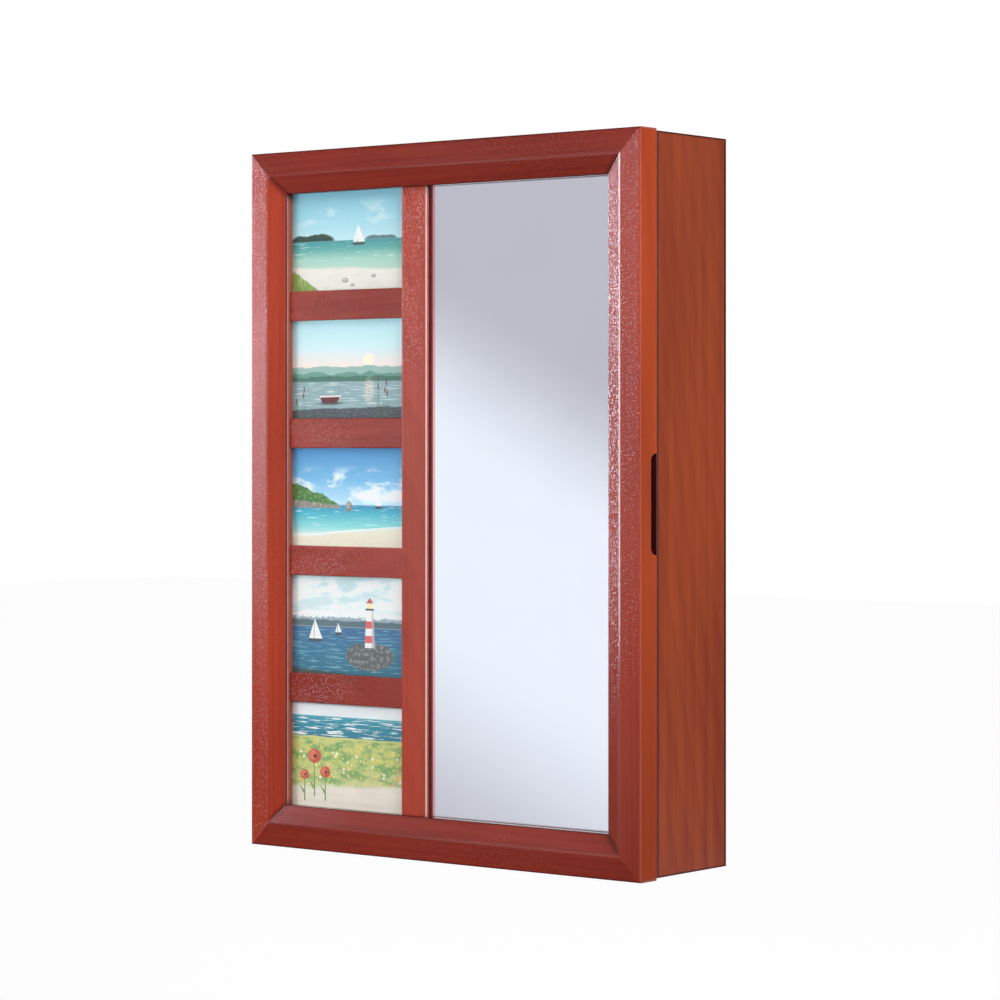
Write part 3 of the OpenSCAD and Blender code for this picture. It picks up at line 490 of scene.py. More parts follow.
def hardboard(name, deep, fair, screen_mark=0.0):
    """Pressed wood fibres, with the mark of the press screen where it is asked for."""
    material, g, shader, _ = new_material(name)
    place = g.coordinates()
    flecks = g.noise(g.placed(place, (1.0, 1.0, 0.55)), 620.0, 4.0, 0.7, 1.2)
    clouds = g.noise(place, 16.0, 3.0)
    tone = g.smooth(g.add(g.times(flecks, 0.85), g.times(clouds, 0.12)), 0.28, 0.72)
    x, _, z = g.apart(place)
    waves = g.times(g.math("SINE", g.times(x, 3600.0)), g.math("SINE", g.times(z, 3600.0)))
    height = g.times_add(waves, screen_mark, flecks)
    g.feed(shader, {"Base Color": g.mix(tone, deep, fair), "Specular IOR Level": 0.3,
                    "Roughness": g.spread(flecks, 0.2, 0.8, 0.55, 0.8),
                    "Normal": g.bump(height, 0.12 * mm, 0.7)})
    return material


def silvering():
    """The mirror's coat. Beside the divider it carries a painted reflection of the red wood, a narrow band.
    """
    material, g, shader, _ = new_material("silvering")
    place = g.coordinates()
    dust = g.group(fine_dust, {"Vector": place})["Dust"]
    coat = g.mix(dust, (0.93, 0.945, 0.965), (0.88, 0.90, 0.925))
    wood_reflection = g.smooth(g.apart(place)[0], divider_end + 5.2 * mm, divider_end + 4.6 * mm, 0.0, 0.9)
    g.feed(shader, {"Base Color": g.mix(wood_reflection, coat, reflected_wood_tone), "Metallic": 1.0,
                    "Roughness": g.spread(dust, 0.0, 1.0, 0.004, 0.035)})
    return material


def clear_glazing():
    """Clear glazing that lets the lamps through to the prints."""
    material, g, shader, out = new_material("clear_glazing")
    dust = g.group(fine_dust, {"Vector": g.coordinates()})["Dust"]
    g.feed(shader, {"Base Color": g.mix(dust, plain_white, (0.97, 0.985, 0.98)), "IOR": 1.49,
                    "Roughness": g.spread(dust, 0.0, 1.0, 0.0, 0.05), "Transmission Weight": 1.0})
    path = g.node("ShaderNodeLightPath").outputs
    through = g.most(path["Is Shadow Ray"], path["Is Diffuse Ray"])
    clear = g.node("ShaderNodeBsdfTransparent", {"Color": (0.98, 0.985, 0.985)}).outputs[0]
    glass = out["Surface"].links[0].from_socket
    both = g.node("ShaderNodeMixShader", {0: through, 1: glass, 2: clear}).outputs[0]
    g.feed(out, {"Surface": both})
    return material


def moulded_plastic(name, base):
    material, g, shader, _ = new_material(name)
    place = g.coordinates()
    skin = g.noise(place, 1800.0)
    dust = g.group(fine_dust, {"Vector": place})["Dust"]
    pale = tuple(c * 1.6 + 0.01 for c in base)
    g.feed(shader, {"Base Color": g.mix(g.times(dust, 0.6), base, pale),
                    "Roughness": g.spread(skin, 0.3, 0.7, 0.42, 0.6),
                    "Normal": g.bump(skin, 0.04 * mm, 0.6)})
    return material


# The prints

class Painter(Graph):
    """Paints a print from the back to the front. s and t are millimetres from its lower left corner."""

    def __init__(self, tree, low):
        super().__init__(tree)
        x, _, z = self.apart(self.coordinates())
        self.s = self.times(self.minus(x, low.x), 1000.0)
        self.t = self.times(self.minus(z, low.z), 1000.0)
        self.colour = None

    def paint(self, mask, colour):
        self.colour = self.mix(mask, self.colour, colour)

    def wash(self, stops):
        """The first coat: colours by height."""
        up = self.spread(self.t, 0.0, print_high)
        self.colour = self.ramp(up, [(t / print_high, colour) for t, colour in stops])

    def texture(self, s_scale, t_scale, seed, detail=3.0, distortion=0.0):
        place = self.together(self.times(self.s, s_scale), self.times(self.t, t_scale), seed)
        return self.noise(place, 1.0, detail, 0.55, distortion)

    def under(self, level, height=0.0, length=20.0, seed=0.0, soft=0.35, slope=0.0):
        """What lies under a skyline at this level, with hills of this height and length."""
        line = self.times_add(self.s, slope, level - height)
        if height:
            place = self.together(self.times(self.s, 1.0 / length), seed, 0.0)
            line = self.times_add(self.noise(place, 1.0, 4.0), 2.0 * height, line)
        return self.smooth(self.minus(line, self.t), -soft, soft)

    def disc(self, s, t, wide, high, soft):
        """Inside an ellipse with these half widths."""
        a = self.times(self.minus(self.s, s), 1.0 / wide)
        b = self.times(self.minus(self.t, t), 1.0 / high)
        return self.smooth(self.length(a, b), 1.0 + soft, 1.0 - soft)

    def shape(self, points, soft=0.25):
        """Inside an outline of straight sides that runs clockwise."""
        inside = None
        for (s0, t0), (s1, t1) in zip(points, points[1:] + points[:1]):
            long = math.hypot(s1 - s0, t1 - t0)
            a, b = (t1 - t0) / long, -(s1 - s0) / long
            side = self.times_add(self.s, a, self.times(self.t, b))
            side = self.smooth(side, a * s0 + b * t0 - soft, a * s0 + b * t0 + soft)
            inside = side if inside is None else self.math("MINIMUM", inside, side)
        return inside

    def mottle(self, mask, grain, low, high, colour, share=1.0):
        """Blotches of another tone. grain is the texture's two scales and its seed."""
        self.paint(self.times(mask, self.smooth(self.texture(*grain), low, high), share), colour)

    def clouds(self, low, high, seed, amount, colour, share):
        puffs = self.texture(0.035, 0.085, seed, 5.0, 0.4)
        above = self.smooth(self.t, low - 4.0, low + 5.0)
        below = self.smooth(self.t, high + 6.0, high - 6.0)
        self.paint(self.times(self.smooth(puffs, amount, amount + 0.16), above, below, share), colour)

    def sail(self, s, t, tall, colour):
        self.paint(self.shape([(s, t), (s, t + tall), (s + 0.52 * tall, t)]), colour)
        self.paint(self.shape([(s - 0.36 * tall, t), (s - 0.6, t + 0.82 * tall), (s - 0.6, t)]), colour)
        hull = [(s - 0.45 * tall, t - 0.5), (s + 0.6 * tall, t - 0.5), (s + 0.4 * tall, t - 2.6),
                (s - 0.3 * tall, t - 2.6)]
        self.paint(self.shape(hull), (0.06, 0.07, 0.09))

    def crests(self, low, high, seed, colour, share):
        """Thin pale lines on water."""
        band = self.times(self.under(high), self.minus(1.0, self.under(low)))
        self.mottle(band, (0.05, 0.9, seed), share, share + 0.06, colour)

    def flowers(self, mask, size, seed, colour, share):
        place = self.together(self.times(self.s, 1.0 / size), self.times(self.t, 1.0 / size), seed)
        cell = self.cells(place)
        chance = self.smooth(self.apart(cell["Color"])[0], share, share + 0.05)
        self.paint(self.times(mask, self.smooth(cell["Distance"], 0.36, 0.2), chance), colour)


def sailing_bay(p):
    p.wash([(0, (0.80, 0.79, 0.73)), (30, (0.34, 0.64, 0.52)), (38, (0.10, 0.42, 0.39)),
            (45, (0.03, 0.31, 0.33)), (45.5, (0.50, 0.76, 0.83)), (62, (0.33, 0.66, 0.77)),
            (82, (0.20, 0.54, 0.68))])
    p.clouds(58, 76, 3.0, 0.5, (0.86, 0.93, 0.95), 0.35)
    island = p.times(p.under(51, 4.5, 17, 1.3), p.disc(26, 45.4, 24, 7.0, 0.1), p.smooth(p.t, 45.0, 45.5))
    p.paint(island, (0.025, 0.075, 0.06))
    far = p.times(p.under(48.3, 2.0, 12, 6.2), p.disc(101, 45.4, 17, 4.0, 0.1), p.smooth(p.t, 45.0, 45.5))
    p.paint(far, (0.10, 0.20, 0.23))
    p.crests(29, 44, 2.0, (0.55, 0.80, 0.74), 0.6)
    p.sail(76, 43.5, 15, (0.92, 0.93, 0.92))
    shore = p.under(24, 3.0, 40, 4.0, 1.4, -0.03)
    p.paint(shore, (0.80, 0.78, 0.71))
    p.mottle(shore, (0.05, 0.2, 9.0), 0.4, 0.75, (0.70, 0.68, 0.60), 0.5)
    tuft = p.times(p.under(24, 7.0, 3.0, 8.0, 0.6, -0.62), p.under(25))
    p.paint(tuft, (0.22, 0.34, 0.07))
    p.mottle(tuft, (0.7, 0.12, 5.0), 0.5, 0.62, (0.42, 0.55, 0.17))
    for s, t, size in ((62, 12, 2.6), (70, 8, 1.7), (93, 15, 2.0)):
        p.paint(p.disc(s, t, size * 1.3, size * 0.8, 0.2), (0.32, 0.31, 0.29))
        p.paint(p.disc(s - 0.5, t + 0.5, size * 0.9, size * 0.4, 0.4), (0.60, 0.58, 0.54))


def evening_lake(p):
    p.wash([(0, (0.05, 0.075, 0.10)), (24, (0.20, 0.33, 0.36)), (34, (0.42, 0.55, 0.56)),
            (36, (0.90, 0.70, 0.60)), (48, (0.86, 0.78, 0.74)), (64, (0.60, 0.84, 0.88)),
            (82, (0.46, 0.78, 0.86))])
    p.paint(p.disc(88, 52, 5.5, 5.5, 0.1), (0.98, 0.90, 0.74))
    p.paint(p.under(47, 5.0, 26, 0.4), (0.30, 0.50, 0.45))
    p.paint(p.under(42, 5.5, 19, 3.7), (0.13, 0.33, 0.26))
    p.paint(p.under(38.5, 3.0, 11, 7.7), (0.06, 0.19, 0.14))
    p.paint(p.under(34.5), (0.26, 0.41, 0.44))
    p.crests(12, 34, 6.0, (0.55, 0.66, 0.64), 0.56)
    p.mottle(p.disc(88, 26, 5.0, 9.5, 0.5), (0.08, 1.4, 1.0), 0.42, 0.6, (0.95, 0.80, 0.62), 0.8)
    p.paint(p.disc(46, 16.4, 13, 1.6, 0.5), (0.07, 0.12, 0.14))
    p.paint(p.shape([(34, 21.5), (57, 22.0), (52, 16.5), (37, 16.5)]), (0.15, 0.03, 0.035))
    p.paint(p.shape([(33.6, 22.6), (57.6, 23.0), (57, 21.6), (34, 21.3)]), (0.80, 0.76, 0.70))
    shore = p.under(11, 3.0, 30, 2.2, 0.8, 0.02)
    p.paint(shore, (0.07, 0.09, 0.115))
    p.mottle(shore, (0.3, 0.9, 4.0), 0.5, 0.66, (0.16, 0.19, 0.21))
    for s, tall, lean in ((96, 27, 2.0), (99, 33, -1.0), (102, 24, 3.5), (106, 30, 1.0),
                          (110, 21, -2.0), (14, 20, 1.5), (18, 25, -1.5), (10, 15, -2.0)):
        p.paint(p.shape([(s, 4), (s + lean, 4 + tall), (s + 0.9, 4)], 0.2), (0.08, 0.15, 0.10))
        p.paint(p.disc(s + lean, 3 + tall, 0.8, 2.6, 0.2), (0.17, 0.09, 0.05))


def quiet_lagoon(p):
    p.wash([(0, (0.84, 0.80, 0.68)), (12, (0.70, 0.86, 0.80)), (20, (0.24, 0.70, 0.72)),
            (31, (0.05, 0.48, 0.62)), (38, (0.02, 0.26, 0.50)), (38.6, (0.46, 0.76, 0.92)),
            (58, (0.17, 0.50, 0.80)), (82, (0.055, 0.30, 0.64))])
    p.clouds(40, 66, 1.6, 0.46, (0.92, 0.96, 0.99), 0.95)
    p.crests(20, 37, 3.0, (0.60, 0.88, 0.88), 0.6)
    head = p.times(p.under(58, 7.0, 16, 5.2, 0.4, -0.32), p.smooth(p.t, 35.6, 36.4), p.smooth(p.s, 58, 50))
    p.paint(head, (0.06, 0.20, 0.055))
    p.mottle(head, (0.32, 0.32, 2.0, 4.0), 0.48, 0.6, (0.15, 0.34, 0.08))
    rock = p.times(p.under(43, 4.0, 9, 2.0, 0.4, -0.10), p.smooth(p.t, 35.2, 36.0), p.smooth(p.s, 60, 54))
    p.paint(rock, (0.26, 0.24, 0.21))
    p.mottle(rock, (0.5, 0.16, 6.0), 0.5, 0.62, (0.46, 0.43, 0.38))
    p.paint(p.disc(66, 37, 3.4, 4.6, 0.15), (0.24, 0.23, 0.21))
    p.paint(p.disc(65.2, 38.2, 1.9, 2.7, 0.4), (0.44, 0.42, 0.38))
    p.sail(98, 38, 8, (0.95, 0.95, 0.93))
    sand = p.under(11, 2.5, 45, 9.0, 1.2, 0.07)
    p.paint(sand, (0.83, 0.78, 0.64))
    wet = p.times(p.under(12.6, 2.5, 45, 9.0, 0.5, 0.07), p.minus(1.0, sand))
    p.paint(wet, (0.93, 0.97, 0.95))
    p.mottle(sand, (0.5, 0.5, 7.0), 0.55, 0.7, (0.66, 0.58, 0.42), 0.5)


def lighthouse_lake(p):
    p.wash([(0, (0.02, 0.15, 0.24)), (20, (0.03, 0.19, 0.32)), (43, (0.045, 0.16, 0.34)),
            (43.6, (0.72, 0.82, 0.83)), (62, (0.62, 0.78, 0.80)), (82, (0.52, 0.72, 0.76))])
    p.clouds(56, 84, 8.3, 0.40, (0.92, 0.95, 0.95), 0.9)
    far = p.times(p.under(56, 9.0, 24, 4.4, 0.3), p.smooth(p.t, 43.2, 43.8))
    p.paint(far, (0.30, 0.40, 0.46))
    snow = p.smooth(p.add(p.t, p.times(p.texture(0.25, 0.5, 2.0), 9.0)), 54.5, 57.0)
    p.paint(p.times(far, snow), (0.88, 0.92, 0.94))
    p.paint(p.times(p.under(48.5, 3.5, 13, 9.1), p.smooth(p.t, 43.2, 43.8)), (0.10, 0.17, 0.20))
    p.crests(6, 42, 5.0, (0.16, 0.42, 0.54), 0.55)
    rock = p.times(p.disc(89, 20, 26, 12, 0.06), p.under(30, 4.0, 8, 5.0))
    p.paint(rock, (0.11, 0.13, 0.14))
    p.mottle(rock, (0.3, 0.3, 3.0), 0.5, 0.6, (0.25, 0.26, 0.25))
    tower = [(83.5, 27), (85.5, 58), (92.5, 58), (94.5, 27)]
    p.paint(p.shape(tower), (0.90, 0.90, 0.88))
    for low in (31, 43):
        ring = p.times(p.shape(tower), p.under(low + 6), p.smooth(p.t, low - 0.2, low + 0.2))
        p.paint(ring, (0.72, 0.11, 0.11))
    p.paint(p.times(p.shape(tower), p.smooth(p.s, 89.5, 93.5)), (0.45, 0.42, 0.46))
    p.paint(p.shape([(84.3, 58), (84.3, 59.6), (93.7, 59.6), (93.7, 58)]), (0.08, 0.09, 0.10))
    p.paint(p.shape([(86.3, 59.6), (86.3, 64), (91.7, 64), (91.7, 59.6)]), (0.88, 0.74, 0.40))
    p.paint(p.shape([(85.2, 64), (89, 68.5), (92.8, 64)]), (0.60, 0.09, 0.09))
    p.sail(28, 33, 17, (0.93, 0.94, 0.94))
    p.sail(54, 39, 8, (0.90, 0.92, 0.93))
    p.paint(p.under(8, 4.0, 9, 1.0, 0.5, -0.06), (0.05, 0.09, 0.09))


def flower_coast(p):
    p.wash([(0, (0.82, 0.77, 0.66)), (22, (0.62, 0.64, 0.30)), (42, (0.56, 0.60, 0.18)),
            (60, (0.66, 0.62, 0.20)), (61, (0.02, 0.20, 0.29)), (74, (0.015, 0.27, 0.37)),
            (79.5, (0.05, 0.36, 0.46)), (80.2, (0.80, 0.88, 0.92)), (82, (0.85, 0.90, 0.93))])
    p.crests(63, 79, 2.0, (0.88, 0.94, 0.95), 0.54)
    p.paint(p.times(p.under(62.5, 1.6, 18, 3.0, 0.5), p.smooth(p.t, 50, 60)), (0.60, 0.62, 0.20))
    meadow = p.times(p.smooth(p.t, 16, 27), p.under(61))
    p.mottle(meadow, (0.06, 0.14, 4.0, 4.0), 0.42, 0.62, (0.20, 0.40, 0.13))
    p.mottle(meadow, (1.1, 0.12, 7.0, 2.0), 0.53, 0.64, (0.36, 0.50, 0.14), 0.6)
    p.flowers(p.times(meadow, p.under(58)), 3.2, 1.0, (0.86, 0.70, 0.12), 0.45)
    p.flowers(p.times(meadow, p.under(50)), 4.4, 5.0, (0.92, 0.90, 0.78), 0.6)
    p.flowers(p.times(meadow, p.under(44)), 5.0, 8.0, (0.83, 0.42, 0.13), 0.72)
    sand = p.under(19, 4.5, 34, 2.7, 2.4, 0.05)
    p.paint(sand, (0.82, 0.77, 0.66))
    p.mottle(sand, (0.04, 0.3, 3.0), 0.45, 0.7, (0.70, 0.66, 0.56), 0.55)
    for s, t, tall, size in ((28, 12, 34, 7.5), (40, 9, 24, 5.8), (17, 8, 22, 5.0)):
        p.paint(p.shape([(s - 0.7, t), (s - 0.3, t + tall), (s + 0.4, t + tall), (s + 0.7, t)], 0.2),
                (0.13, 0.27, 0.07))
        p.paint(p.shape([(s, t + 4), (s - 6, t + 13), (s + 0.4, t + 8)], 0.3), (0.17, 0.33, 0.09))
        p.paint(p.disc(s, t + tall, size, size * 0.82, 0.07), (0.55, 0.10, 0.05))
        p.paint(p.disc(s - size * 0.32, t + tall + 0.9, size * 0.55, size * 0.6, 0.2), (0.70, 0.19, 0.09))
        p.paint(p.disc(s + size * 0.1, t + tall - 0.2, size * 0.24, size * 0.2, 0.2), (0.06, 0.03, 0.04))


def print_material(name, scene):
    """A print on satin paper."""
    material, _, shader, _ = new_material(f"print_{name}")
    p = Painter(material.node_tree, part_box(name)[0])
    scene(p)
    p.colour = p.mix(1.0, p.colour, print_gain, "MULTIPLY")
    fibre = p.noise(p.coordinates(), 1500.0)
    p.paint(p.times(fibre, 0.06), plain_white)
    p.feed(shader, {"Base Color": p.colour, "Roughness": p.spread(fibre, 0.3, 0.7, 0.5, 0.62),
                    "Normal": p.bump(fibre, 0.02 * mm, 0.4), "Specular IOR Level": 0.3})
    return material


# Making pieces

def only_nothing():
    """Leaves edit mode and deselects everything."""
    if bpy.context.object and bpy.context.object.mode != "OBJECT":
        bpy.ops.object.mode_set(mode="OBJECT")
    bpy.ops.object.select_all(action="DESELECT")


def only(piece):
    """Selects one piece and nothing else."""
    only_nothing()
    piece.select_set(True)
    bpy.context.view_layer.objects.active = piece


def settle(piece):
    """Puts the piece's place into its mesh and leaves the object at the origin."""
    only(piece)
    bpy.ops.object.transform_apply(location=True, rotation=True, scale=True)


def pick(piece, kind, test):
    """In edit mode, selects the faces that pass the test, or the edges whose two ends do."""
    bpy.ops.object.mode_set(mode="OBJECT")
    mesh = piece.data
    for part in (mesh.vertices, mesh.edges, mesh.polygons):
        for item in part:
            item.select = False
    if kind == "FACE":
        for face in mesh.polygons:
            face.select = test(face)
    else:
        for edge in mesh.edges:
            edge.select = test(*(mesh.vertices[i].co for i in edge.vertices))
    bpy.ops.object.mode_set(mode="EDIT")
    bpy.ops.mesh.select_mode(type=kind)


def apply_all(piece):
    only(piece)
    for modifier in list(piece.modifiers):
        bpy.ops.object.modifier_apply(modifier=modifier.name)


def smooth_shade(piece, angle):
    only(piece)
    bpy.ops.object.shade_smooth_by_angle(angle=math.radians(angle))


def finish_piece(piece, name, body, material):
    """Names a piece, gives it its material, and says which body it rides on."""
    only(piece)
    piece.name = piece.data.name = name
    piece.data.materials.clear()
    piece.data.materials.append(material)
    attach(piece, body)


def block(low, high):
    """A cube primitive between two corners, with its place in its mesh."""
    only_nothing()
    middle = (Vector(low) + Vector(high)) / 2
    bpy.ops.mesh.primitive_cube_add(size=1.0, location=middle)
    piece = bpy.context.object
    piece.scale = Vector(high) - Vector(low)
    settle(piece)
    return piece


def ring_rolls(material):
    """Foam rolls under velvet, side by side, with the rings' slits between them."""
    low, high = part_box("ring_rolls")
    count, slit, cuts, drawn_in = 6, 0.3 * mm, 48, 9.0 * mm
    wide = (high.y - low.y - slit * (count - 1)) / count
    lumps = bpy.data.textures.new("roll_lumps", "CLOUDS")
    lumps.noise_scale = 0.022
    for i in range(count):
        y = low.y + i * (wide + slit)
        middle = y + wide / 2
        roll = block((low.x, y, low.z), (high.x, y + wide, high.z))
        pick(roll, "EDGE", lambda a, b: abs(a.x - b.x) > 0.1 and (a.z + b.z) / 2 > low.z + 8.0 * mm)
        bpy.ops.mesh.bevel(offset=4.6 * mm, segments=7, profile=0.5)
        pick(roll, "EDGE", lambda a, b: abs(a.x - b.x) > 0.1 and (a.z + b.z) / 2 < low.z + 1.0 * mm)
        bpy.ops.mesh.bevel(offset=3.0 * mm, segments=4, profile=0.5)
        pick(roll, "FACE", lambda face: abs(face.normal.x) > 0.9)
        bpy.ops.mesh.inset(thickness=1.3 * mm, depth=0.0)
        bpy.ops.mesh.inset(thickness=1.0 * mm, depth=-0.5 * mm)
        for step in range(1, cuts):
            bpy.ops.mesh.select_all(action="SELECT")
            bpy.ops.mesh.bisect(plane_co=(low.x + step * (high.x - low.x) / cuts, middle, high.z),
                                plane_no=(1.0, 0.0, 0.0))
        bpy.ops.object.mode_set(mode="OBJECT")
        for point in roll.data.vertices:
            end = min(point.co.x - low.x, high.x - point.co.x)
            if end < drawn_in:
                share = (1.0 - end / drawn_in) ** 2
                point.co.y += (middle - point.co.y) * 0.12 * share
                point.co.z -= (point.co.z - low.z) * 0.10 * share
        soften = roll.modifiers.new("lumps", "DISPLACE")
        soften.texture = lumps
        soften.strength = 0.35 * mm
        soften.mid_level = 1.0
        soften.texture_coords = "LOCAL"
        apply_all(roll)
        smooth_shade(roll, 50.0)
        finish_piece(roll, f"ring_roll_{i + 1}", "case", material)
        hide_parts("ring_rolls")


def mirror_sheet(silver, glass):
    """Clear glass with a polished rim, and the silvering on its back."""
    low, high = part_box("mirror")
    coat, gap, hair = 0.15 * mm, 0.02 * mm, 1e-6
    back = block((low.x + coat, high.y - coat, low.z + coat), (high.x - coat, high.y, high.z - coat))
    pick(back, "FACE", lambda face: abs(face.normal.y) > 0.9)
    bpy.ops.mesh.inset(thickness=1.0 * mm, depth=0.0)
    finish_piece(back, "mirror_silvering", "door", silver)
    front = block(low, (high.x, high.y - coat - gap, high.z))
    pick(front, "EDGE", lambda a, b: abs(a.y - b.y) < hair and a.y < low.y + hair)
    bpy.ops.mesh.bevel(offset=0.5 * mm, segments=3, profile=0.5)
    finish_piece(front, "mirror_glass", "door", glass)
    for piece in (back, front):
        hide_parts("mirror")


def velvet_linings(material):
    """Velvet on card, glued inside the boards: the cards' shape with soft edges."""
    piece = bpy.data.objects.new("velvet_lining_panels", nodes["velvet_linings"].data.copy())
    bpy.context.scene.collection.objects.link(piece)
    only(piece)
    bpy.ops.object.mode_set(mode="EDIT")
    bpy.ops.mesh.select_all(action="SELECT")
    bpy.ops.mesh.remove_doubles(threshold=0.01 * mm)
    bpy.ops.mesh.dissolve_limited(angle_limit=math.radians(1.0))
    bpy.ops.object.mode_set(mode="OBJECT")
    soft = piece.modifiers.new("soft edges", "BEVEL")
    soft.width = 0.3 * mm
    soft.segments = 3
    soft.limit_method = "ANGLE"
    soft.angle_limit = math.radians(40.0)
    apply_all(piece)
    smooth_shade(piece, 35.0)
    finish_piece(piece, "velvet_lining_panels", "case", material)
    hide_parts("velvet_linings")


def felt_bumpers(material):
    """Four little felt domes on the back of the door."""
    low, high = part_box("door_bumpers")
    radius, thick, middle = bumper_radius, high.y - low.y, (low.y + high.y) / 2
    corners = [(x, middle, z) for x in (low.x + radius, high.x - radius)
               for z in (low.z + radius, high.z - radius)]
    for number, corner in enumerate(corners, 1):
        only_nothing()
        bpy.ops.mesh.primitive_cylinder_add(vertices=48, radius=radius, depth=thick,
                                            location=corner, rotation=(straight, 0.0, 0.0))
        dome = bpy.context.object
        settle(dome)
        pick(dome, "FACE", lambda face: face.normal.y > 0.9)
        bpy.ops.mesh.bevel(offset=min(0.6 * thick, 0.35 * radius), segments=5, profile=0.6)
        smooth_shade(dome, 50.0)
        finish_piece(dome, f"felt_bumper_{number}", "door", material)
        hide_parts("door_bumpers")


# Camera, floor, light

def camera():
    data = bpy.data.cameras.new("camera")
    data.sensor_width = 36.0
    data.lens = 119.06
    data.shift_y = -0.0579
    data.clip_start, data.clip_end = 0.1, 60.0
    eye = bpy.data.objects.new("camera", data)
    eye.location = (1.69787, -2.18828, 0.04834)
    eye.rotation_euler = (straight, 0.0, math.radians(38.28))
    bpy.context.scene.collection.objects.link(eye)
    bpy.context.scene.camera = eye


def plane(name, size, centre):
    """A plane with an empty material of its own, and that material's graph."""
    only_nothing()
    bpy.ops.mesh.primitive_plane_add(size=size, location=centre)
    made = bpy.context.object
    made.name = name
    material, g = empty_material(name)
    made.data.materials.append(material)
    return made, g


def card(name, centre, width, height, seen_by, paint, aim=None):
    """A studio panel that faces the cabinet, or the way of aim. Only diffuse or only glossy rays meet it."""
    panel, g = plane(name, 1.0, centre)
    panel.scale = (width, height, 1.0)
    aim = Vector(aim) if aim else Vector((0.0, 0.0, centre[2])) - Vector(centre)
    panel.rotation_mode = "QUATERNION"
    panel.rotation_quaternion = aim.to_track_quat("Z", "Y")
    colour, strength = paint(g, g.apart(g.coordinates()))
    light = g.node("ShaderNodeEmission", {"Color": colour, "Strength": strength})
    g.node("ShaderNodeOutputMaterial", {"Surface": light.outputs[0]})
    panel.visible_camera = panel.visible_shadow = panel.visible_volume_scatter = False
    panel.visible_diffuse = seen_by == "diffuse"
    panel.visible_glossy = panel.visible_transmission = seen_by == "glossy"


def lamp(name, centre, level, aim=None):
    """A plain lit panel that polished surfaces don't show."""
    card(name, centre, lamp_size, lamp_size, "diffuse", lambda g, place: (plain_white, level), aim)


def tall_softbox(name, x, y, width, levels):
    """A tall softbox that only polished surfaces show. levels are its strengths from bottom to top."""
    most = max(levels)
    steps = len(levels) - 1

    def paint(g, place):
        tone = g.ramp(g.add(place[1], 0.5), [(i / steps, (v / most,) * 3) for i, v in enumerate(levels)])
        sides = g.smooth(g.absolute(place[0]), 0.5, 0.3)
        return g.mix(1.0, tone, cold_light, "MULTIPLY"), g.times(sides, most)
    card(name, (x, y, softbox_z), width, softbox_high, "glossy", paint)


def mirror_view(width, height, centre_z):
    """What the mirror shows: a studio wall, grey-blue above, with a soft slanting pool of lavender white."""
    def paint(g, place):  # across and drop are metres from the view's upper left
        across = g.times_add(place[0], -width, 0.0725)
        drop = g.times_add(place[1], -height, 0.37 - centre_z)
        upper = g.smooth(g.times_add(across, -0.61, drop), 0.160, 0.370)
        lower = g.smooth(g.times_add(across, -0.55, drop), 0.89, 0.58)
        return g.mix(g.times(upper, lower), (0.547, 0.540, 0.606), (0.905, 0.953, 1.032)), 1.0
    return paint


def dark_panel(low, high):
    """A dark studio panel, a little lighter above."""
    return lambda g, place: (wall_light, g.spread(place[1], -0.5, 0.5, low, high))


def front_wall(width, low, high, pale):
    """What the mirror shows from straight in front: a dark wall that grows pale to one side, on a slant."""
    def paint(g, place):
        colour, level = dark_panel(low, high)(g, place)
        share = g.smooth(g.times_add(place[1], 0.75, g.times(place[0], -width)), -0.76, -0.36)
        return colour, g.times_add(share, pale, level)
    return paint


def sun(name, azimuth, elevation, strength, softness):
    """A soft lamp far away that polished surfaces don't show. Strength 1 lights white paper fully."""
    data = bpy.data.lights.new(name, "SUN")
    data.energy = strength * math.pi
    data.angle = math.radians(softness)
    source = bpy.data.objects.new(name, data)
    a, e = math.radians(azimuth), math.radians(elevation)
    back = Vector((math.sin(a) * math.cos(e), -math.cos(a) * math.cos(e), math.sin(e)))
    source.rotation_mode = "QUATERNION"
    source.rotation_quaternion = back.to_track_quat("Z", "Y")
    source.visible_glossy = False
    bpy.context.scene.collection.objects.link(source)


def seen_directly(g):
    """1 for the camera's rays and those of reflections and clear pieces, 0 for the rest."""
    path = g.node("ShaderNodeLightPath").outputs
    return g.most(path["Is Camera Ray"], path["Is Glossy Ray"], path["Is Transmission Ray"])


def floor():
    ground, g = plane("studio_floor", 24.0, (0.0, 0.0, floor_level))
    matt = g.node("ShaderNodeBsdfDiffuse", {"Color": (0.5, 0.5, 0.5)}).outputs[0]
    shown = g.times(seen_directly(g), floor_glow)
    light = g.node("ShaderNodeEmission", {"Color": plain_white, "Strength": shown}).outputs[0]
    both = g.node("ShaderNodeAddShader", {0: matt, 1: light}).outputs[0]
    g.node("ShaderNodeOutputMaterial", {"Surface": both})


def world():
    sky = bpy.data.worlds.new("studio")
    bpy.context.scene.world = sky
    sky.use_nodes = True
    sky.node_tree.nodes.clear()
    g = Graph(sky.node_tree)
    level = g.spread(seen_directly(g), 0.0, 1.0, fill_level, 1.0)
    light = g.node("ShaderNodeBackground", {"Color": plain_white, "Strength": level}).outputs[0]
    g.node("ShaderNodeOutputWorld", {"Surface": light})


# The studio

bpy.context.scene.view_settings.view_transform = "Standard"
camera()
floor()
world()
sun("side", 72.0, 18.0, 0.40, 40.0)
sun("back", 174.0, 20.0, 0.55, 40.0)
lamp("left_lamp", (-0.75, -0.95, 0.08), 11.4)
lamp("right_lamp", (0.85, -0.45, 0.60), 7.5)
lamp("front_lamp", (-0.2, -1.1, 0.1), 2.2)
lamp("top_lamp", (-0.3, -0.8, 0.9), 1.4, (0.2, 0.6, -0.9))

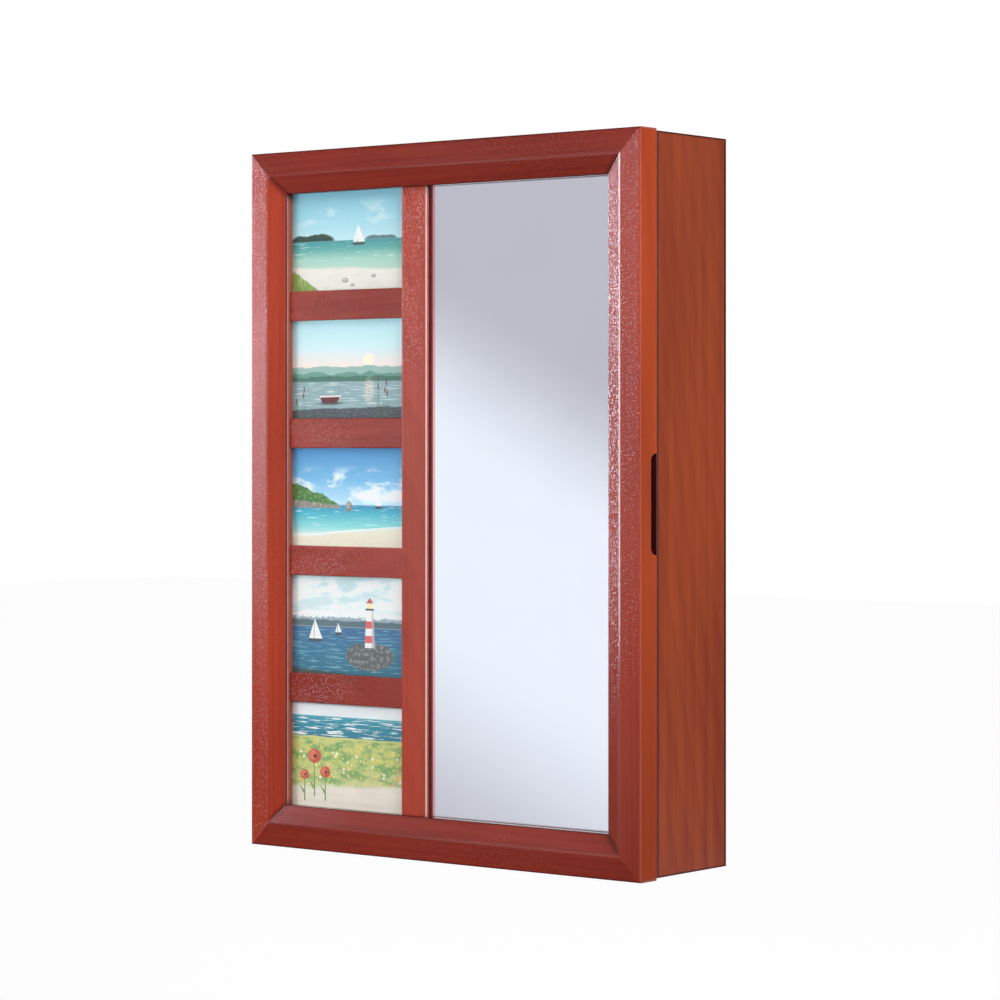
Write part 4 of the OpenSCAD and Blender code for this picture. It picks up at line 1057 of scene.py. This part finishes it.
view_centre, view_size = (-0.7625, -1.265, 0.01), (0.385, 1.02)
front_width = 2.2
card("mirror_card", view_centre, *view_size, "glossy", mirror_view(*view_size, view_centre[2]))
tall_softbox("left_softbox", -1.45, -1.00, 0.62, (0.0, 0.2, 4.4, 0.5, 0.0))
tall_softbox("right_softbox", -0.51, -1.45, 0.22, (0.0, 0.3, 1.3, 2.2, 0.5))
tall_softbox("ridge_light", -1.50, -0.67, 0.22, (0.0, 4.0, 24.0, 34.0, 10.0))
tall_softbox("strip_light", -1.33, -0.20, 0.20, (0.0, 0.3, 5.0, 15.0, 12.0))
tall_softbox("edge_light", 1.42, -0.52, 0.30, (2.0, 4.0, 6.0, 6.0, 5.0))
card("front_panel", (0.75, -1.95, 0.0), front_width, 3.0, "glossy",
     front_wall(front_width, 0.02, 0.08, 0.55))
card("low_panel", (-0.9, -1.0, -0.74), 2.6, 2.6, "glossy", dark_panel(0.02, 0.02), (0.0, 0.0, 1.0))
card("high_panel", (-0.5, -1.0, 1.7), 3.0, 3.0, "glossy", dark_panel(0.03, 0.03), (0.0, 0.0, -1.0))
card("side_panel", (1.6, 2.0, -0.3), 3.4, 3.6, "glossy", dark_panel(0.02, 0.04))
card("left_wall", (-2.0, -1.7, 0.5), 6.0, 3.4, "glossy", dark_panel(0.02, 0.12))

# Materials on the CAD pieces

bar = dict(along="X", gloss=0.18, flecks=0.20, coarse=(0, -0.075, -0.150))
rail = dict(along="X", tones=rail_tones, pits=0.05, flecks=0.02)
door_boards = {
    "door_hinge_stile": dict(along="Z", tones=upright_tones, pits=0.11, flecks=0.15, lip=lit_lip_tones),
    "door_latch_stile": dict(along="Z", tones=upright_tones, pits=0.17, flecks=0.06, rounding=1.6,
                             edge=edge_tones, coarse=(2, -0.22, -0.05), falloff_shade=(-0.02, -0.27, 0.24)),
    "door_top_rail": rail,
    "door_bottom_rail": rail,
    "divider_stile": dict(along="Z", tones=shaded(upright_tones, 1.05), pits=0.20, flecks=0.17,
                          rounding=1.6, coarse=(2, 0.04, 0.25), rim=divider_end),
}
# Painted light and shade by height: bars 2 and 3 lighter, bar 4 darker.
for number, share in enumerate((1.0, 1.12, 1.22, 0.86), 1):
    door_boards[f"photo_bar_{number}"] = dict(bar, tones=shaded(bar_tones, share))
for number, (name, cut) in enumerate(door_boards.items(), 1):
    dress(name, cherry(name, number, painted_shade=door_painted_shade, **cut))
case_cut = dict(tones=case_tones, figure=0.28, streaks=1.3, rings=100.0, tilt=0.16, gloss=0.28, pits=0.001,
                rounding=0.4, worn=1.1, painted_shade=case_painted_shade)
for number, name in enumerate(("side_board_left", "side_board_right"), 11):
    dress(name, cherry(name, number, "Z", falloff_shade=(-0.05, 0.28, 0.20), **case_cut))
for number, name in enumerate(("top_board", "bottom_board"), 13):
    dress(name, cherry(name, number, "X", **case_cut))
inner_boards = {"hanging_rail": "X", "upright_divider": "Z", "middle_shelf": "X", "lower_shelf": "X",
                "shelf_lips": "X", "earring_bars": "X", "lower_partitions": "Z"}
for number, (name, along) in enumerate(inner_boards.items(), 17):
    dress(name, cherry(name, number, along, inner_tones, figure=0.25, streaks=0.8, gloss=0.42, pits=0.04))

glazing = clear_glazing()
other_pieces = (
    (metal("satin_brass", (0.78, 0.56, 0.26), (0.50, 0.33, 0.13), 0.28),
     ("necklace_hooks", "bracelet_rod", "hinge_upper_case_leaf", "hinge_lower_case_leaf", "hinge_pins",
      "hinge_upper_door_leaf", "hinge_lower_door_leaf", "case_hinge_screws", "door_hinge_screws")),
    (metal("zinc_plated_steel", (0.60, 0.61, 0.63), (0.42, 0.42, 0.42), 0.34),
     ("catch_magnet", "catch_screws", "strike_plate", "strike_screws", "glazing_points", "button_screws")),
    (moulded_plastic("dark_moulded_plastic", (0.055, 0.035, 0.028)),
     ("magnet_catch", "rod_sockets", *(f"turn_button_{i}" for i in range(1, 5)))),
    (hardboard("screen_backed_hardboard", (0.17, 0.085, 0.035), (0.40, 0.24, 0.12), 0.5), ("back_panel",)),
    (hardboard("smooth_hardboard", (0.20, 0.11, 0.05), (0.42, 0.27, 0.15)),
     ("mirror_backer", *(f"photo_backer_{i}" for i in range(1, 6)))),
    (glazing, ("photo_panes",)),
)
for material, names in other_pieces:
    for name in names:
        dress(name, material)
scenes = (sailing_bay, evening_lake, quiet_lagoon, lighthouse_lake, flower_coast)
for number, scene in enumerate(scenes, 1):
    dress(f"photo_{number}", print_material(f"photo_{number}", scene))

# The pieces that Blender makes

champagne = velvet("champagne_velvet", (0.46, 0.37, 0.26), (0.78, 0.68, 0.53))
dark_felt = velvet("dark_felt", (0.030, 0.020, 0.017), (0.085, 0.060, 0.050))
mirror_sheet(silvering(), glazing)
ring_rolls(champagne)
velvet_linings(champagne)
felt_bumpers(dark_felt)
